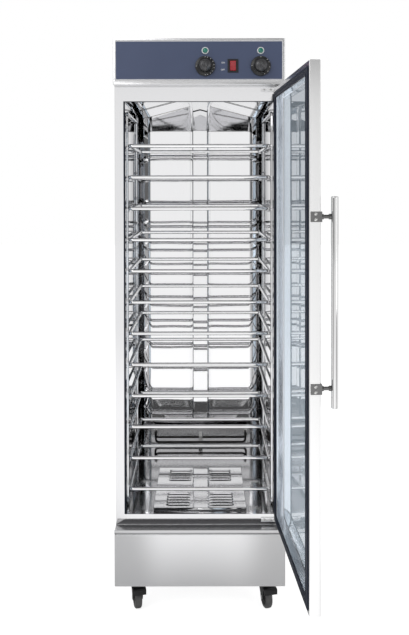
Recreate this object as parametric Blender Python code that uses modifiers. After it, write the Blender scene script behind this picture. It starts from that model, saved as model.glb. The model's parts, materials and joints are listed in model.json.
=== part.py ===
"""A tall stainless proofing cabinet on casters, with its glass door standing open.

Metres, +Z up, the front faces -Y. The origin is the centre of the underside of the base.
Each object is one piece of the real cabinet. A moving piece hangs on an empty, or has its
origin, on the axis that it turns about.
"""

import math

import bmesh
import bpy
from mathutils import Matrix, Vector

# Sheet metal, and the clearances that repeat
SHEET = 0.001
GAP = 0.0003
OVERRUN = 0.002
BEND_RADIUS = 0.003
BEND_STEPS = 2

# Casing
WIDTH = 0.500
DEPTH = 0.680
BASE_HEIGHT = 0.165
LEDGE_DEPTH = 0.040
SILL_HEIGHT = 0.031
OPENING_HEIGHT = 1.226
HEADER_HEIGHT = 0.045
CONTROL_HEIGHT = 0.133
JAMB_WIDTH = 0.026
BACK_WALL = 0.034
FRAME_RETURN = 0.015
PANEL_FLANGE = 0.014
SHELF_FLANGE = 0.022
SEAM_DROP = 0.0135
SEAM_HEIGHT = 0.002
SEAM_DEPTH = 0.0012
COVER_HALF_WIDTH = 0.138
COVER_HALF_DEPTH = 0.280

HALF_WIDTH = WIDTH / 2
FRONT_Y = -DEPTH / 2
BACK_Y = DEPTH / 2
JAMB_Y = FRONT_Y + LEDGE_DEPTH
FLOOR_Z = BASE_HEIGHT + SILL_HEIGHT
EAVE_Z = FLOOR_Z + OPENING_HEIGHT
CONTROL_Z = EAVE_Z + HEADER_HEIGHT
TOP_Z = CONTROL_Z + CONTROL_HEIGHT

# Cavity: folded liner with a gabled ceiling
CEILING_RISE = 0.058
LINER_CORNER = 0.045
CORNER_STEPS = 4
JACKET_CLEAR = 0.0006

CAVITY_HALF = HALF_WIDTH - JAMB_WIDTH
CAVITY_FRONT = JAMB_Y + FRAME_RETURN + GAP
CAVITY_BACK = BACK_Y - BACK_WALL
RIDGE_Z = EAVE_Z + CEILING_RISE

# Air duct: up the back wall and forward under the ridge
DUCT_WIDTH = 0.055
DUCT_DEPTH = 0.020
DUCT_DROP = 0.024
DUCT_FOOT = 0.010
DUCT_BOTTOM = 0.297

# Water pan, its louvred cover and the two heating elements
PAN_HALF_WIDTH = 0.128
PAN_LENGTH = 0.304
PAN_DEPTH = 0.095
PAN_RIM = 0.008
PAN_BEND = 0.012
COVER_SKIRT = 0.010
COVER_OVERHANG = 0.002
COVER_SETBACK = 0.005
LOUVRE_LENGTH = 0.074
LOUVRE_PITCH = 0.020
LOUVRE_THROAT = 0.0045
LOUVRE_RUN = 0.012
LOUVRE_CENTRE_X = 0.0655
LOUVRE_ROWS = 5
LOUVRE_FRONT_ROW = 0.024
LOUVRE_BACK_ROW = 0.220
LOUVRE_SHARES = ((-1.0, 0.1), (-0.9, 1.0), (0.9, 1.0), (1.0, 0.1))
ELEMENT_DIAMETER = 0.008
ELEMENT_BEND = 0.012
STEAM_SPREAD = 0.150
STEAM_REACH = 0.230
STEAM_HEIGHT = 0.022
AIR_ELEMENT_WIDTH = 0.334
AIR_ELEMENT_RISE = 0.033
AIR_ELEMENT_STAND = 0.028
AIR_ELEMENT_HEIGHT = 0.021
CLIP_WIDTH = 0.014
CLIP_HEIGHT = 0.030

# Rack: wire tray supports on pegged side frames
TRAY_LEVELS = 12
TRAY_PITCH = 0.094
LOWEST_TRAY = 0.258
TRAY_WIRE = 0.010
TRAY_WIDTH = 0.430
TRAY_LENGTH = 0.389
TRAY_FRONT = 0.030
TRAY_CORNER = 0.022
POST_WIRE = 0.008
POST_ABOVE_TRAYS = 0.103
POST_SETBACK = 0.030
POST_CORNER = 0.014
PEG_WIRE = 0.005
WIRE_BEND_STEPS = 2

# Control panel and what is on it
PANEL_THICKNESS = 0.0015
PANEL_SIDE = 0.007
PANEL_TOP = 0.0075
PANEL_BOTTOM = 0.013
HUMIDITY_X = 0.018
TEMPERATURE_X = 0.179
DIAL_HEIGHT = 0.052
LAMP_HEIGHT = 0.097
KNOB_RADIUS = 0.029
KNOB_DEPTH = 0.033
KNOB_CLEAR = 0.0006
KNOB_PROFILE_SHARES = (
    (0.16, 1.00), (0.20, 0.93), (0.27, 0.91), (0.34, 0.97), (0.60, 0.93),
    (0.69, 0.82), (0.73, 0.32), (0.80, 0.25), (0.97, 0.21), (1.00, 0.16),
)
SPINDLE_RADIUS = 0.003
SPINDLE_LENGTH = 0.014
CONTROLLER_WIDTH = 0.044
CONTROLLER_HEIGHT = 0.050
CONTROLLER_DEPTH = 0.038
CONTROLLER_NECK = 0.009
LAMP_RADIUS = 0.0105
LAMP_BODY_RADIUS = 0.009
LAMP_BODY_LENGTH = 0.022
LAMP_PROUD = 0.0035
LENS_RADIUS = 0.0072
LENS_SEAT = 0.004
LENS_PROUD = 0.0015
SWITCH_X = 0.0985
SWITCH_HEIGHT = 0.053
SWITCH_WIDTH = 0.031
SWITCH_LENGTH = 0.039
SWITCH_PROUD = 0.0025
SWITCH_RIM = 0.002
SWITCH_BODY_DEPTH = 0.024
ROCKER_WIDTH = 0.017
ROCKER_LENGTH = 0.028
ROCKER_PROUD = 0.0035
ROCKER_DIP = 0.0018
ROCKER_ROOT = 0.005
ROCKER_POCKET = 0.011
ROCKER_END_GAP = 0.0012
ROCKER_TILT = math.radians(8)

# Door, its gasket, glass and handle
DOOR_OPEN = math.radians(93.75)
DOOR_SIDE_GAP = 0.001
DOOR_TOP_GAP = 0.007
DOOR_BOTTOM_GAP = 0.010
DOOR_THICKNESS = 0.0268
DOOR_MEMBER = 0.032
DOOR_CHAMFER = 0.0015
GASKET_INSET = 0.012
GASKET_THICKNESS = 0.0037
GASKET_CLEAR = 0.0005
GASKET_BEAD = 0.006
GASKET_GROOVE = 0.0015
GLASS_THICKNESS = 0.005
GLASS_REBATE = 0.008
GLASS_LIP = 0.0012
HINGE_INSET = 0.009
HINGE_FORWARD = 0.022
HINGE_PIN_RADIUS = 0.004
HINGE_PIN_LENGTH = 0.013
HINGE_PLATE = 0.002
HINGE_PLATE_WIDTH = 0.068
HINGE_PLATE_DROP = 0.011
HINGE_LEG = 0.003
HINGE_LEG_RADIUS = 0.011
HANDLE_RADIUS = 0.0085
HANDLE_LENGTH = 0.491
HANDLE_HEIGHT = 0.9015
HANDLE_STANDOFF = 0.0345
HANDLE_INSET = 0.008
HANDLE_DOME = 0.003
HANDLE_DOME_SHARES = ((0.0, 0.0), (0.75, 0.25), (1.0, 1.0))
BRACKET_INSET = 0.047
BRACKET_HEIGHT = 0.024
BRACKET_PLATE = 0.0025
BRACKET_WRAP = 0.024
BRACKET_FOOT = 0.016
POST_NECK_RADIUS = 0.0045
POST_COLLAR_RADIUS = 0.0065
POST_COLLAR = 0.005

# Casters
CASTER_HEIGHT = 0.095
CASTER_X = 0.194
CASTER_Y = 0.255
CASTER_SWIVEL = math.radians(14)
CASTER_TRAIL = 0.023
PAD_SIZE = 0.070
PAD_THICKNESS = 0.004
KINGPIN_RADIUS = 0.005
KINGPIN_REACH = 0.006
RACE_RADIUS = 0.021
RACE_HEIGHT = 0.013
FORK_THICKNESS = 0.0025
FORK_CLEAR = 0.0018
FORK_HALF_LENGTH = 0.020
FORK_HORN = 0.038
FORK_HORN_DROP = 0.013
AXLE_BOSS_RADIUS = 0.009
WHEEL_RADIUS = 0.0315
WHEEL_WIDTH = 0.021
WHEEL_ROUND = 0.006
HUB_RADIUS = 0.012
HUB_DISH = 0.004
AXLE_RADIUS = 0.004
PEDAL_PIVOT_BACK = 0.004
PEDAL_PIVOT_DROP = 0.0077
PEDAL_PIN_RADIUS = 0.0025
PEDAL_BARREL_RADIUS = 0.0035
PEDAL_WIDTH = 0.040
PEDAL_THICKNESS = 0.006
PEDAL_LENGTH = 0.031
PEDAL_LIP = 0.013
PEDAL_LIP_THICKNESS = 0.004
PEDAL_CLEAR = 0.003

# Cable gland in the rear of the control housing
GLAND_X = -0.180
GLAND_HEIGHT = 0.045
GLAND_RADIUS = 0.012
GLAND_THREAD_RADIUS = 0.008
GLAND_BORE_RADIUS = 0.004
GLAND_LENGTH = 0.018
GLAND_NUT = 0.005
GLAND_TAIL = 0.012

# Facets round a turned piece, and how faces are joined and shaded
FINE_SIDES = 20
ROUND_SIDES = 16
PLAIN_SIDES = 12
PEG_SIDES = 6
MERGE_DISTANCE = 0.00001
SMOOTH_ANGLE = math.radians(35)

# Finish of each kind of surface: colour, roughness, metallic
FINISHES = {
    "brushed_steel": ((0.63, 0.63, 0.62), 0.32, 1.0),
    "polished_steel": ((0.80, 0.80, 0.80), 0.08, 1.0),
    "chromed_wire": ((0.85, 0.85, 0.86), 0.06, 1.0),
    "insulation": ((0.80, 0.74, 0.55), 0.90, 0.0),
    "slate_blue_panel": ((0.080, 0.108, 0.190), 0.38, 0.0),
    "black_plastic": ((0.012, 0.012, 0.013), 0.40, 0.0),
    "white_plastic": ((0.80, 0.84, 0.83), 0.30, 0.0),
    "green_lens": ((0.02, 0.30, 0.20), 0.15, 0.0),
    "red_rocker": ((0.45, 0.01, 0.02), 0.22, 0.0),
    "navy_rubber": ((0.010, 0.018, 0.045), 0.45, 0.0),
    "tinted_glass": ((0.70, 0.78, 0.86), 0.03, 0.0),
    "dark_element": ((0.06, 0.055, 0.05), 0.45, 0.8),
    "zinc_steel": ((0.50, 0.50, 0.49), 0.35, 1.0),
    "grey_tyre": ((0.05, 0.05, 0.05), 0.60, 0.0),
    "bakelite": ((0.03, 0.025, 0.02), 0.50, 0.0),
}


def start_scene():
    """Empty the scene and return the collections for the pieces and for the cutters."""
    for old in list(bpy.data.objects):
        bpy.data.objects.remove(old, do_unlink=True)
    made = []
    for name in ("proofing_cabinet", "cutters"):
        collection = bpy.data.collections.new(name)
        bpy.context.scene.collection.children.link(collection)
        made.append(collection)
    return made


PIECES, CUTTERS = start_scene()

# Stands an outline up in Y and Z, so that its thickness runs along X
SIDEWAYS = Matrix(((0, 0, 1, 0), (1, 0, 0, 0), (0, 1, 0, 0), (0, 0, 0, 1)))


def finish_of(name, finish):
    """A material of the piece's own, with the values of its finish."""
    colour, roughness, metallic = FINISHES[finish]
    material = bpy.data.materials.new(f"{name}_{finish}")
    material.use_nodes = True
    shader = material.node_tree.nodes["Principled BSDF"]
    shader.inputs["Base Color"].default_value = (*colour, 1)
    shader.inputs["Roughness"].default_value = roughness
    shader.inputs["Metallic"].default_value = metallic
    return material


def add_piece(name, data, finish, location=(0, 0, 0), parent=None):
    """Link a mesh or a curve as a named piece."""
    piece = bpy.data.objects.new(name, data)
    PIECES.objects.link(piece)
    data.materials.clear()
    data.materials.append(finish_of(name, finish))
    piece.location = location
    piece.parent = parent
    return piece


def add_cutter(name, data, location=(0, 0, 0), parent=None):
    """Link a mesh that only joins or cuts a piece."""
    cutter = bpy.data.objects.new(name, data)
    CUTTERS.objects.link(cutter)
    cutter.location = location
    cutter.parent = parent
    cutter.hide_render = True
    cutter.display_type = "WIRE"
    return cutter


def add_frame(name, location, turn=0.0):
    """An empty on a joint's axis, turned about Z."""
    frame = bpy.data.objects.new(name, None)
    PIECES.objects.link(frame)
    frame.location = location
    frame.rotation_euler = (0, 0, turn)
    return frame


def hang(piece, frame):
    """Parent a piece, modelled where it lies with the frame unturned, to the frame."""
    piece.parent = frame
    piece.matrix_parent_inverse = Matrix.Translation(-frame.location)
    return piece


def combine(piece, tool, operation):
    """Join a tool to a piece, or cut it out of the piece."""
    modifier = piece.modifiers.new(f"{operation.lower()}_{tool.name}", "BOOLEAN")
    modifier.operation = operation
    modifier.solver = "EXACT"
    modifier.object = tool


def give_thickness(piece, thickness):
    """Turn a surface into a sheet whose outer side is the surface."""
    modifier = piece.modifiers.new("sheet", "SOLIDIFY")
    modifier.thickness = thickness
    modifier.offset = -1
    modifier.solidify_mode = "NON_MANIFOLD"
    modifier.nonmanifold_thickness_mode = "CONSTRAINTS"


def mesh_from(bm, name):
    """Write a bmesh to a new mesh and free it."""
    mesh = bpy.data.meshes.new(name)
    bm.to_mesh(mesh)
    bm.free()
    return mesh


def smooth(mesh):
    """Shade a round mesh smooth, with its sharp edges kept."""
    mesh.shade_smooth()
    mesh.set_sharp_from_angle(angle=SMOOTH_ANGLE)
    return mesh


def grown(span, amount):
    """A span with each end moved outwards by the amount."""
    return (span[0] - amount, span[1] + amount)


def rounded_loop(x, y, z, radius, steps=BEND_STEPS, front_radius=None):
    """Points round a rectangle with rounded corners at height z, anticlockwise from above.

    The two front corners may have a radius of their own.
    """
    front = radius if front_radius is None else front_radius
    points = []
    for corner, bend in enumerate((radius, radius, front, front)):
        centre_x = x[1] - bend if corner in (0, 3) else x[0] + bend
        centre_y = y[1] - bend if corner in (0, 1) else y[0] + bend
        for step in range(steps + 1):
            turn = (corner + step / steps) * math.pi / 2
            points.append(Vector((
                centre_x + bend * math.cos(turn),
                centre_y + bend * math.sin(turn),
                z,
            )))
    return points


def upright_loop(x, z, y):
    """Corners of an upright rectangle at depth y, anticlockwise from the front."""
    return [Vector((x[i], y, z[j])) for i, j in ((0, 0), (1, 0), (1, 1), (0, 1))]


def loft(name, rows, closed=True, cap_start=False, cap_end=False, ring=False):
    """Mesh between neighbouring rows of points, as a sheet or, with caps or as a ring, a solid."""
    bm = bmesh.new()
    lines = [[bm.verts.new(point) for point in row] for row in rows]
    pairs = list(zip(lines, lines[1:]))
    if ring:
        pairs.append((lines[-1], lines[0]))
    for low, high in pairs:
        for here in range(len(low) if closed else len(low) - 1):
            there = (here + 1) % len(low)
            bm.faces.new((low[here], low[there], high[there], high[here]))
    if cap_start:
        bm.faces.new(reversed(lines[0]))
    if cap_end:
        bm.faces.new(lines[-1])
    if ring or (cap_start and cap_end):
        bmesh.ops.recalc_face_normals(bm, faces=bm.faces)
    return mesh_from(bm, name)


def box_mesh(name, size):
    """A box about its own centre."""
    bm = bmesh.new()
    bmesh.ops.create_cube(bm, size=1, matrix=Matrix.Diagonal((*size, 1)))
    return mesh_from(bm, name)


def box_between(x, y, z):
    """Size and centre of the box between three spans."""
    spans = (x, y, z)
    size = [high - low for low, high in spans]
    centre = [(low + high) / 2 for low, high in spans]
    return size, centre


def box_piece(name, x, y, z, finish):
    """A box-shaped piece between three spans."""
    size, centre = box_between(x, y, z)
    return add_piece(name, box_mesh(name, size), finish, centre)


def box_cutter(name, x, y, z):
    """A box-shaped cutter between three spans."""
    size, centre = box_between(x, y, z)
    return add_cutter(name, box_mesh(name, size), centre)


def rod_mesh(name, radius, length, axis="Z", sides=PLAIN_SIDES):
    """A round rod about its own centre, along an axis."""
    turns = {"X": (math.pi / 2, "Y"), "Y": (math.pi / 2, "X"), "Z": (0, "Z")}
    bm = bmesh.new()
    bmesh.ops.create_cone(
        bm, cap_ends=True, segments=sides, radius1=radius, radius2=radius, depth=length,
        matrix=Matrix.Rotation(*[turns[axis][0], 4, turns[axis][1]]),
    )
    return smooth(mesh_from(bm, name))


def turned_mesh(name, profile):
    """The edge of a turned piece: radius and height pairs, from the top of its axis down."""
    mesh = bpy.data.meshes.new(name)
    points = [(radius, 0, height) for radius, height in profile]
    mesh.from_pydata(points, [(i, i + 1) for i in range(len(points) - 1)], [])
    return mesh


def turn_profile(piece, sides):
    """Revolve a piece's profile about its own Z axis."""
    modifier = piece.modifiers.new("turned", "SCREW")
    modifier.steps = modifier.render_steps = sides
    modifier.use_merge_vertices = True
    modifier.merge_threshold = MERGE_DISTANCE
    modifier.use_smooth_shade = True


def wire_curve(name, points, diameter, closed=False, resolution=2):
    """A round wire along straight runs between points."""
    curve = bpy.data.curves.new(name, "CURVE")
    curve.dimensions = "3D"
    curve.bevel_depth = diameter / 2
    curve.bevel_resolution = resolution
    curve.use_fill_caps = True
    spline = curve.splines.new("POLY")
    spline.points.add(len(points) - 1)
    for place, point in zip(spline.points, points):
        place.co = (*point, 1)
    spline.use_cyclic_u = closed
    return curve


def outline_curve(name, points, thickness):
    """A flat plate of an outline, thick along its own Z."""
    curve = bpy.data.curves.new(name, "CURVE")
    curve.dimensions = "2D"
    curve.fill_mode = "BOTH"
    curve.extrude = thickness / 2
    spline = curve.splines.new("POLY")
    spline.points.add(len(points) - 1)
    for place, (across, up) in zip(spline.points, points):
        place.co = (across, up, 0, 1)
    spline.use_cyclic_u = True
    return curve


def curve_as_mesh(name, curve):
    """The closed mesh of a curve, so that it can be cut or joined."""
    guide = bpy.data.objects.new(name, curve)
    CUTTERS.objects.link(guide)
    graph = bpy.context.evaluated_depsgraph_get()
    mesh = bpy.data.meshes.new_from_object(guide.evaluated_get(graph))
    bpy.data.objects.remove(guide)
    bm = bmesh.new()
    bm.from_mesh(mesh)
    bmesh.ops.remove_doubles(bm, verts=bm.verts, dist=MERGE_DISTANCE)
    bmesh.ops.recalc_face_normals(bm, faces=bm.faces)
    bm.to_mesh(mesh)
    bm.free()
    mesh.name = name
    return mesh


def bent(corners, radius, closed, steps=WIRE_BEND_STEPS):
    """A path through corners, each rounded to the radius."""
    count = len(corners)
    path = []
    for index, corner in enumerate(corners):
        if not closed and index in (0, count - 1):
            path.append(corner)
            continue
        before = (corners[index - 1] - corner).normalized()
        after = (corners[(index + 1) % count] - corner).normalized()
        half = before.angle(after) / 2
        start = corner + before * radius / math.tan(half)
        middle = corner + (before + after).normalized() * radius / math.sin(half)
        reach = start - middle
        other = corner + after * radius / math.tan(half) - middle
        sweep = reach.angle(other)
        for step in range(steps + 1):
            share = step / steps
            path.append(middle + (
                reach * math.sin((1 - share) * sweep) + other * math.sin(share * sweep)
            ) / math.sin(sweep))
    return path


def ceiling_z(x):
    """Height of the gabled ceiling at a distance from the middle."""
    return RIDGE_Z - CEILING_RISE * abs(x) / CAVITY_HALF


def arc_points(centre_x, centre_y, radius, start, end, steps):
    """Points of an arc from one angle to another."""
    angles = [start + (end - start) * step / steps for step in range(steps + 1)]
    return [(centre_x + radius * math.cos(a), centre_y + radius * math.sin(a)) for a in angles]


def make_base_housing():
    """Skirt of the base: bottom flange, wall with the seam line, ledge, and caster pads."""
    wall_x = (-HALF_WIDTH, HALF_WIDTH)
    wall_y = (FRONT_Y, BACK_Y)
    seam_z = BASE_HEIGHT - SEAM_DROP
    shelf_x = grown(wall_x, -SHELF_FLANGE)
    shelf_y = (JAMB_Y + FRAME_RETURN, BACK_Y - SHELF_FLANGE)
    inner_x = grown(wall_x, -SEAM_DEPTH)
    inner_y = grown(wall_y, -SEAM_DEPTH)
    rows = [
        rounded_loop((-COVER_HALF_WIDTH, COVER_HALF_WIDTH),
                     (-COVER_HALF_DEPTH, COVER_HALF_DEPTH), 0, BEND_RADIUS),
        rounded_loop(wall_x, wall_y, 0, BEND_RADIUS),
        rounded_loop(wall_x, wall_y, seam_z, BEND_RADIUS),
        rounded_loop(inner_x, inner_y, seam_z, BEND_RADIUS),
        rounded_loop(inner_x, inner_y, seam_z + SEAM_HEIGHT, BEND_RADIUS),
        rounded_loop(wall_x, wall_y, seam_z + SEAM_HEIGHT, BEND_RADIUS),
        rounded_loop(wall_x, wall_y, BASE_HEIGHT, BEND_RADIUS),
        rounded_loop(shelf_x, shelf_y, BASE_HEIGHT, BEND_RADIUS),
    ]
    base = add_piece("base_housing", loft("base_housing", rows), "brushed_steel")
    give_thickness(base, SHEET)
    pad_z = (-PAD_THICKNESS, SHEET / 2)
    for place, x, y in caster_places():
        half = PAD_SIZE / 2
        pad = box_cutter(f"pad_{place}", (x - half, x + half), (y - half, y + half), pad_z)
        combine(base, pad, "UNION")
    for place, x, y in caster_places():
        length = PAD_THICKNESS + SHEET + 2 * OVERRUN
        bore = add_cutter(
            f"kingpin_bore_{place}", rod_mesh("kingpin_bore", KINGPIN_RADIUS + GAP, length),
            (x, y, length / 2 - PAD_THICKNESS - OVERRUN),
        )
        combine(base, bore, "DIFFERENCE")


def make_bottom_cover():
    """Flat service cover in the underside of the base."""
    half_x = COVER_HALF_WIDTH - GAP
    half_y = COVER_HALF_DEPTH - GAP
    rows = [
        rounded_loop((-half_x, half_x), (-half_y, half_y), z, BEND_RADIUS) for z in (0, SHEET)
    ]
    mesh = loft("bottom_cover", rows, cap_start=True, cap_end=True)
    add_piece("bottom_cover", mesh, "brushed_steel")


def make_side_panels():
    """Outer side sheets, each with a folded flange at the front and at the rear."""
    front = JAMB_Y + SHEET + GAP
    back = BACK_Y - SHEET - GAP
    low, high = BASE_HEIGHT + GAP, CONTROL_Z - GAP
    for name, side in (("side_panel_left", -1), ("side_panel_right", 1)):
        path = [
            (side * (HALF_WIDTH - PANEL_FLANGE), back), (side * HALF_WIDTH, back),
            (side * HALF_WIDTH, front), (side * (HALF_WIDTH - PANEL_FLANGE), front),
        ]
        rows = [[Vector((x, y, z)) for x, y in path[::-side]] for z in (low, high)]
        panel = add_piece(name, loft(name, rows, closed=False), "brushed_steel")
        give_thickness(panel, SHEET)


def make_rear_panel():
    """Flat rear sheet over the rear flanges of the side panels."""
    box_piece("rear_panel", (-HALF_WIDTH, HALF_WIDTH), (BACK_Y - SHEET, BACK_Y),
              (BASE_HEIGHT + GAP, CONTROL_Z - GAP), "brushed_steel")


def make_front_frame():
    """Door surround: jambs, sill and header in one plane, with a return into the cavity."""
    opening_x = (-CAVITY_HALF, CAVITY_HALF)
    opening_z = (FLOOR_Z, EAVE_Z)
    rows = [
        upright_loop((-HALF_WIDTH, HALF_WIDTH), (BASE_HEIGHT + GAP, CONTROL_Z - GAP), JAMB_Y),
        upright_loop(opening_x, opening_z, JAMB_Y),
        upright_loop(opening_x, opening_z, JAMB_Y + FRAME_RETURN),
    ]
    frame = add_piece("front_frame", loft("front_frame", rows), "polished_steel")
    give_thickness(frame, SHEET)


def make_liner_walls():
    """Left, rear and right walls of the cavity, rolled from one sheet with wide rear corners."""
    centre_x = CAVITY_HALF - LINER_CORNER
    centre_y = CAVITY_BACK - LINER_CORNER
    path = [(-CAVITY_HALF, CAVITY_FRONT)]
    path += arc_points(-centre_x, centre_y, LINER_CORNER, math.pi, math.pi / 2, CORNER_STEPS)
    path.append((0, CAVITY_BACK))
    path += arc_points(centre_x, centre_y, LINER_CORNER, math.pi / 2, 0, CORNER_STEPS)
    path.append((CAVITY_HALF, CAVITY_FRONT))
    rows = [
        [Vector((x, y, BASE_HEIGHT + GAP)) for x, y in path],
        [Vector((x, y, ceiling_z(x) - 2 * GAP)) for x, y in path],
    ]
    walls = add_piece("liner_walls", loft("liner_walls", rows, closed=False), "polished_steel")
    give_thickness(walls, SHEET)


def pan_spans():
    """Spans in X and Y of the inside of the water pan."""
    front = CAVITY_FRONT + COVER_SETBACK + PAN_RIM + SHEET + COVER_OVERHANG
    return (-PAN_HALF_WIDTH, PAN_HALF_WIDTH), (front, front + PAN_LENGTH)


def make_liner_floor():
    """Cavity floor with folded edges that stand on the base, open over the water pan."""
    floor_x = (GAP - CAVITY_HALF, CAVITY_HALF - GAP)
    floor_y = (CAVITY_FRONT, CAVITY_BACK - GAP)
    pan_x, pan_y = pan_spans()
    hole = SHEET + GAP
    corner = LINER_CORNER - GAP
    rows = [
        rounded_loop(floor_x, floor_y, BASE_HEIGHT + GAP, corner, CORNER_STEPS, BEND_RADIUS),
        rounded_loop(floor_x, floor_y, FLOOR_Z, corner, CORNER_STEPS, BEND_RADIUS),
        rounded_loop(grown(pan_x, hole), grown(pan_y, hole), FLOOR_Z, PAN_BEND, CORNER_STEPS),
    ]
    floor = add_piece("liner_floor", loft("liner_floor", rows), "polished_steel")
    give_thickness(floor, SHEET)


def make_liner_ceiling():
    """Gabled ceiling with its front gable end, lying on the cavity walls."""
    eave_x = CAVITY_HALF + SHEET
    bm = bmesh.new()
    left, ridge, right = (
        [bm.verts.new((x, y, ceiling_z(x))) for y in (CAVITY_FRONT + SHEET, CAVITY_BACK + SHEET)]
        for x in (-eave_x, 0, eave_x)
    )
    bm.faces.new((left[1], ridge[1], ridge[0], left[0]))
    bm.faces.new((ridge[1], right[1], right[0], ridge[0]))
    bm.faces.new((left[0], ridge[0], right[0]))
    ceiling = add_piece("liner_ceiling", mesh_from(bm, "liner_ceiling"), "polished_steel")
    give_thickness(ceiling, SHEET)


def make_insulation():
    """Foam jacket between the liner walls and the outer sheets."""
    outer_x = HALF_WIDTH - SHEET - JACKET_CLEAR
    inner_x = CAVITY_HALF + SHEET + JACKET_CLEAR
    front = JAMB_Y + 2 * SHEET + GAP + JACKET_CLEAR
    inner_back = CAVITY_BACK + SHEET + JACKET_CLEAR
    outer_back = BACK_Y - 2 * SHEET - GAP - JACKET_CLEAR
    points = [
        (-outer_x, front), (-inner_x, front), (-inner_x, inner_back), (inner_x, inner_back),
        (inner_x, front), (outer_x, front), (outer_x, outer_back), (-outer_x, outer_back),
    ]
    low, high = BASE_HEIGHT + GAP, CONTROL_Z - GAP
    curve = outline_curve("insulation_jacket", points, high - low)
    add_piece("insulation_jacket", curve, "insulation", (0, 0, (low + high) / 2))


def make_air_duct():
    """Folded duct, with a foot along each side, that rises on the back wall and runs forward
    under the ridge."""
    half = DUCT_WIDTH / 2
    foot = half + DUCT_FOOT
    wall_y = CAVITY_BACK - GAP - SHEET
    face_y = CAVITY_BACK - DUCT_DEPTH
    roof = 2 * GAP + SHEET
    across = (-foot, -half, -half, 0, half, half, foot)
    at_wall = (True, True, False, False, False, True, True)
    bottom = [Vector((x, wall_y if seat else face_y, DUCT_BOTTOM))
              for x, seat in zip(across, at_wall)]
    corner = [
        Vector((x, wall_y, ceiling_z(x) - roof)) if seat
        else Vector((x, face_y, ceiling_z(x) - DUCT_DROP))
        for x, seat in zip(across, at_wall)
    ]
    front_y = CAVITY_FRONT + SHEET + GAP
    front = [Vector((x, front_y, ceiling_z(x) - (roof if seat else DUCT_DROP)))
             for x, seat in zip(across, at_wall)]
    duct = add_piece("air_duct", loft("air_duct", [bottom, corner, front], closed=False),
                     "polished_steel")
    give_thickness(duct, SHEET)


def make_water_pan():
    """Water pan hung by its rim in the cavity floor."""
    pan_x, pan_y = pan_spans()
    top = FLOOR_Z + GAP + SHEET
    rows = [
        rounded_loop(grown(pan_x, PAN_RIM), grown(pan_y, PAN_RIM), top, PAN_BEND),
        rounded_loop(pan_x, pan_y, top, PAN_BEND),
        rounded_loop(pan_x, pan_y, top - PAN_DEPTH, PAN_BEND),
    ]
    pan = add_piece("water_pan", loft("water_pan", rows, cap_end=True), "polished_steel")
    give_thickness(pan, SHEET)


def add_louvre(bm, centre_x, centre_y, top_z, margin, depth, reach):
    """One pressed hood: highest over its mouth, sloping back into the sheet and to its ends."""
    half = LOUVRE_LENGTH / 2 - margin
    mouth = centre_y - LOUVRE_RUN / 2 - reach
    heel = centre_y + LOUVRE_RUN / 2 - margin
    rows = []
    for length_share, height_share in LOUVRE_SHARES:
        x = centre_x + half * length_share
        high = (LOUVRE_THROAT - margin) * height_share
        rows.append([bm.verts.new((x, y, top_z + z)) for y, z in (
            (heel, -depth), (heel, 0), (mouth, high), (mouth, -depth),
        )])
    for here, there in zip(rows, rows[1:]):
        for low in range(len(here)):
            high = (low + 1) % len(here)
            bm.faces.new((here[low], here[high], there[high], there[low]))
    bm.faces.new(rows[0])
    bm.faces.new(rows[-1])


def louvre_tool(name, places, top_z, margin, depth, reach):
    """All hoods as one tool, each a solid of its own."""
    bm = bmesh.new()
    for x, y in places:
        add_louvre(bm, x, y, top_z, margin, depth, reach)
    bmesh.ops.recalc_face_normals(bm, faces=bm.faces)
    return add_cutter(name, mesh_from(bm, name))


def make_floor_cover():
    """Raised cover over the water pan, with four groups of pressed louvres."""
    pan_x, pan_y = pan_spans()
    edge = PAN_RIM + SHEET + COVER_OVERHANG
    cover_x, cover_y = grown(pan_x, edge), grown(pan_y, edge)
    top = FLOOR_Z + COVER_SKIRT
    rows = [
        rounded_loop(cover_x, cover_y, FLOOR_Z + GAP, BEND_RADIUS),
        rounded_loop(cover_x, cover_y, top, BEND_RADIUS),
    ]
    cover = add_piece("floor_cover", loft("floor_cover", rows, cap_end=True), "polished_steel")
    give_thickness(cover, SHEET)
    places = [
        (side * LOUVRE_CENTRE_X, cover_y[0] + start + row * LOUVRE_PITCH)
        for side in (-1, 1)
        for start in (LOUVRE_FRONT_ROW, LOUVRE_BACK_ROW)
        for row in range(LOUVRE_ROWS)
    ]
    combine(cover, louvre_tool("louvre_hoods", places, top, 0, SHEET / 2, 0), "UNION")
    combine(cover, louvre_tool("louvre_throats", places, top, SHEET, SHEET + OVERRUN, OVERRUN),
            "DIFFERENCE")


def make_steam_heater():
    """Immersed element in the water pan: two long loops from the rear wall of the pan."""
    pan_x, pan_y = pan_spans()
    z = FLOOR_Z - PAN_DEPTH + STEAM_HEIGHT
    start, end = pan_y[1] - GAP, pan_y[1] - STEAM_REACH
    turn_back = end + STEAM_SPREAD
    outer, inner = STEAM_SPREAD / 2, STEAM_SPREAD / 6
    corners = [
        Vector((-outer, start, z)), Vector((-outer, end, z)), Vector((-inner, end, z)),
        Vector((-inner, turn_back, z)), Vector((inner, turn_back, z)), Vector((inner, end, z)),
        Vector((outer, end, z)), Vector((outer, start, z)),
    ]
    curve = wire_curve("steam_heater", bent(corners, ELEMENT_BEND, False), ELEMENT_DIAMETER)
    add_piece("steam_heater", curve, "dark_element")


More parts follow.
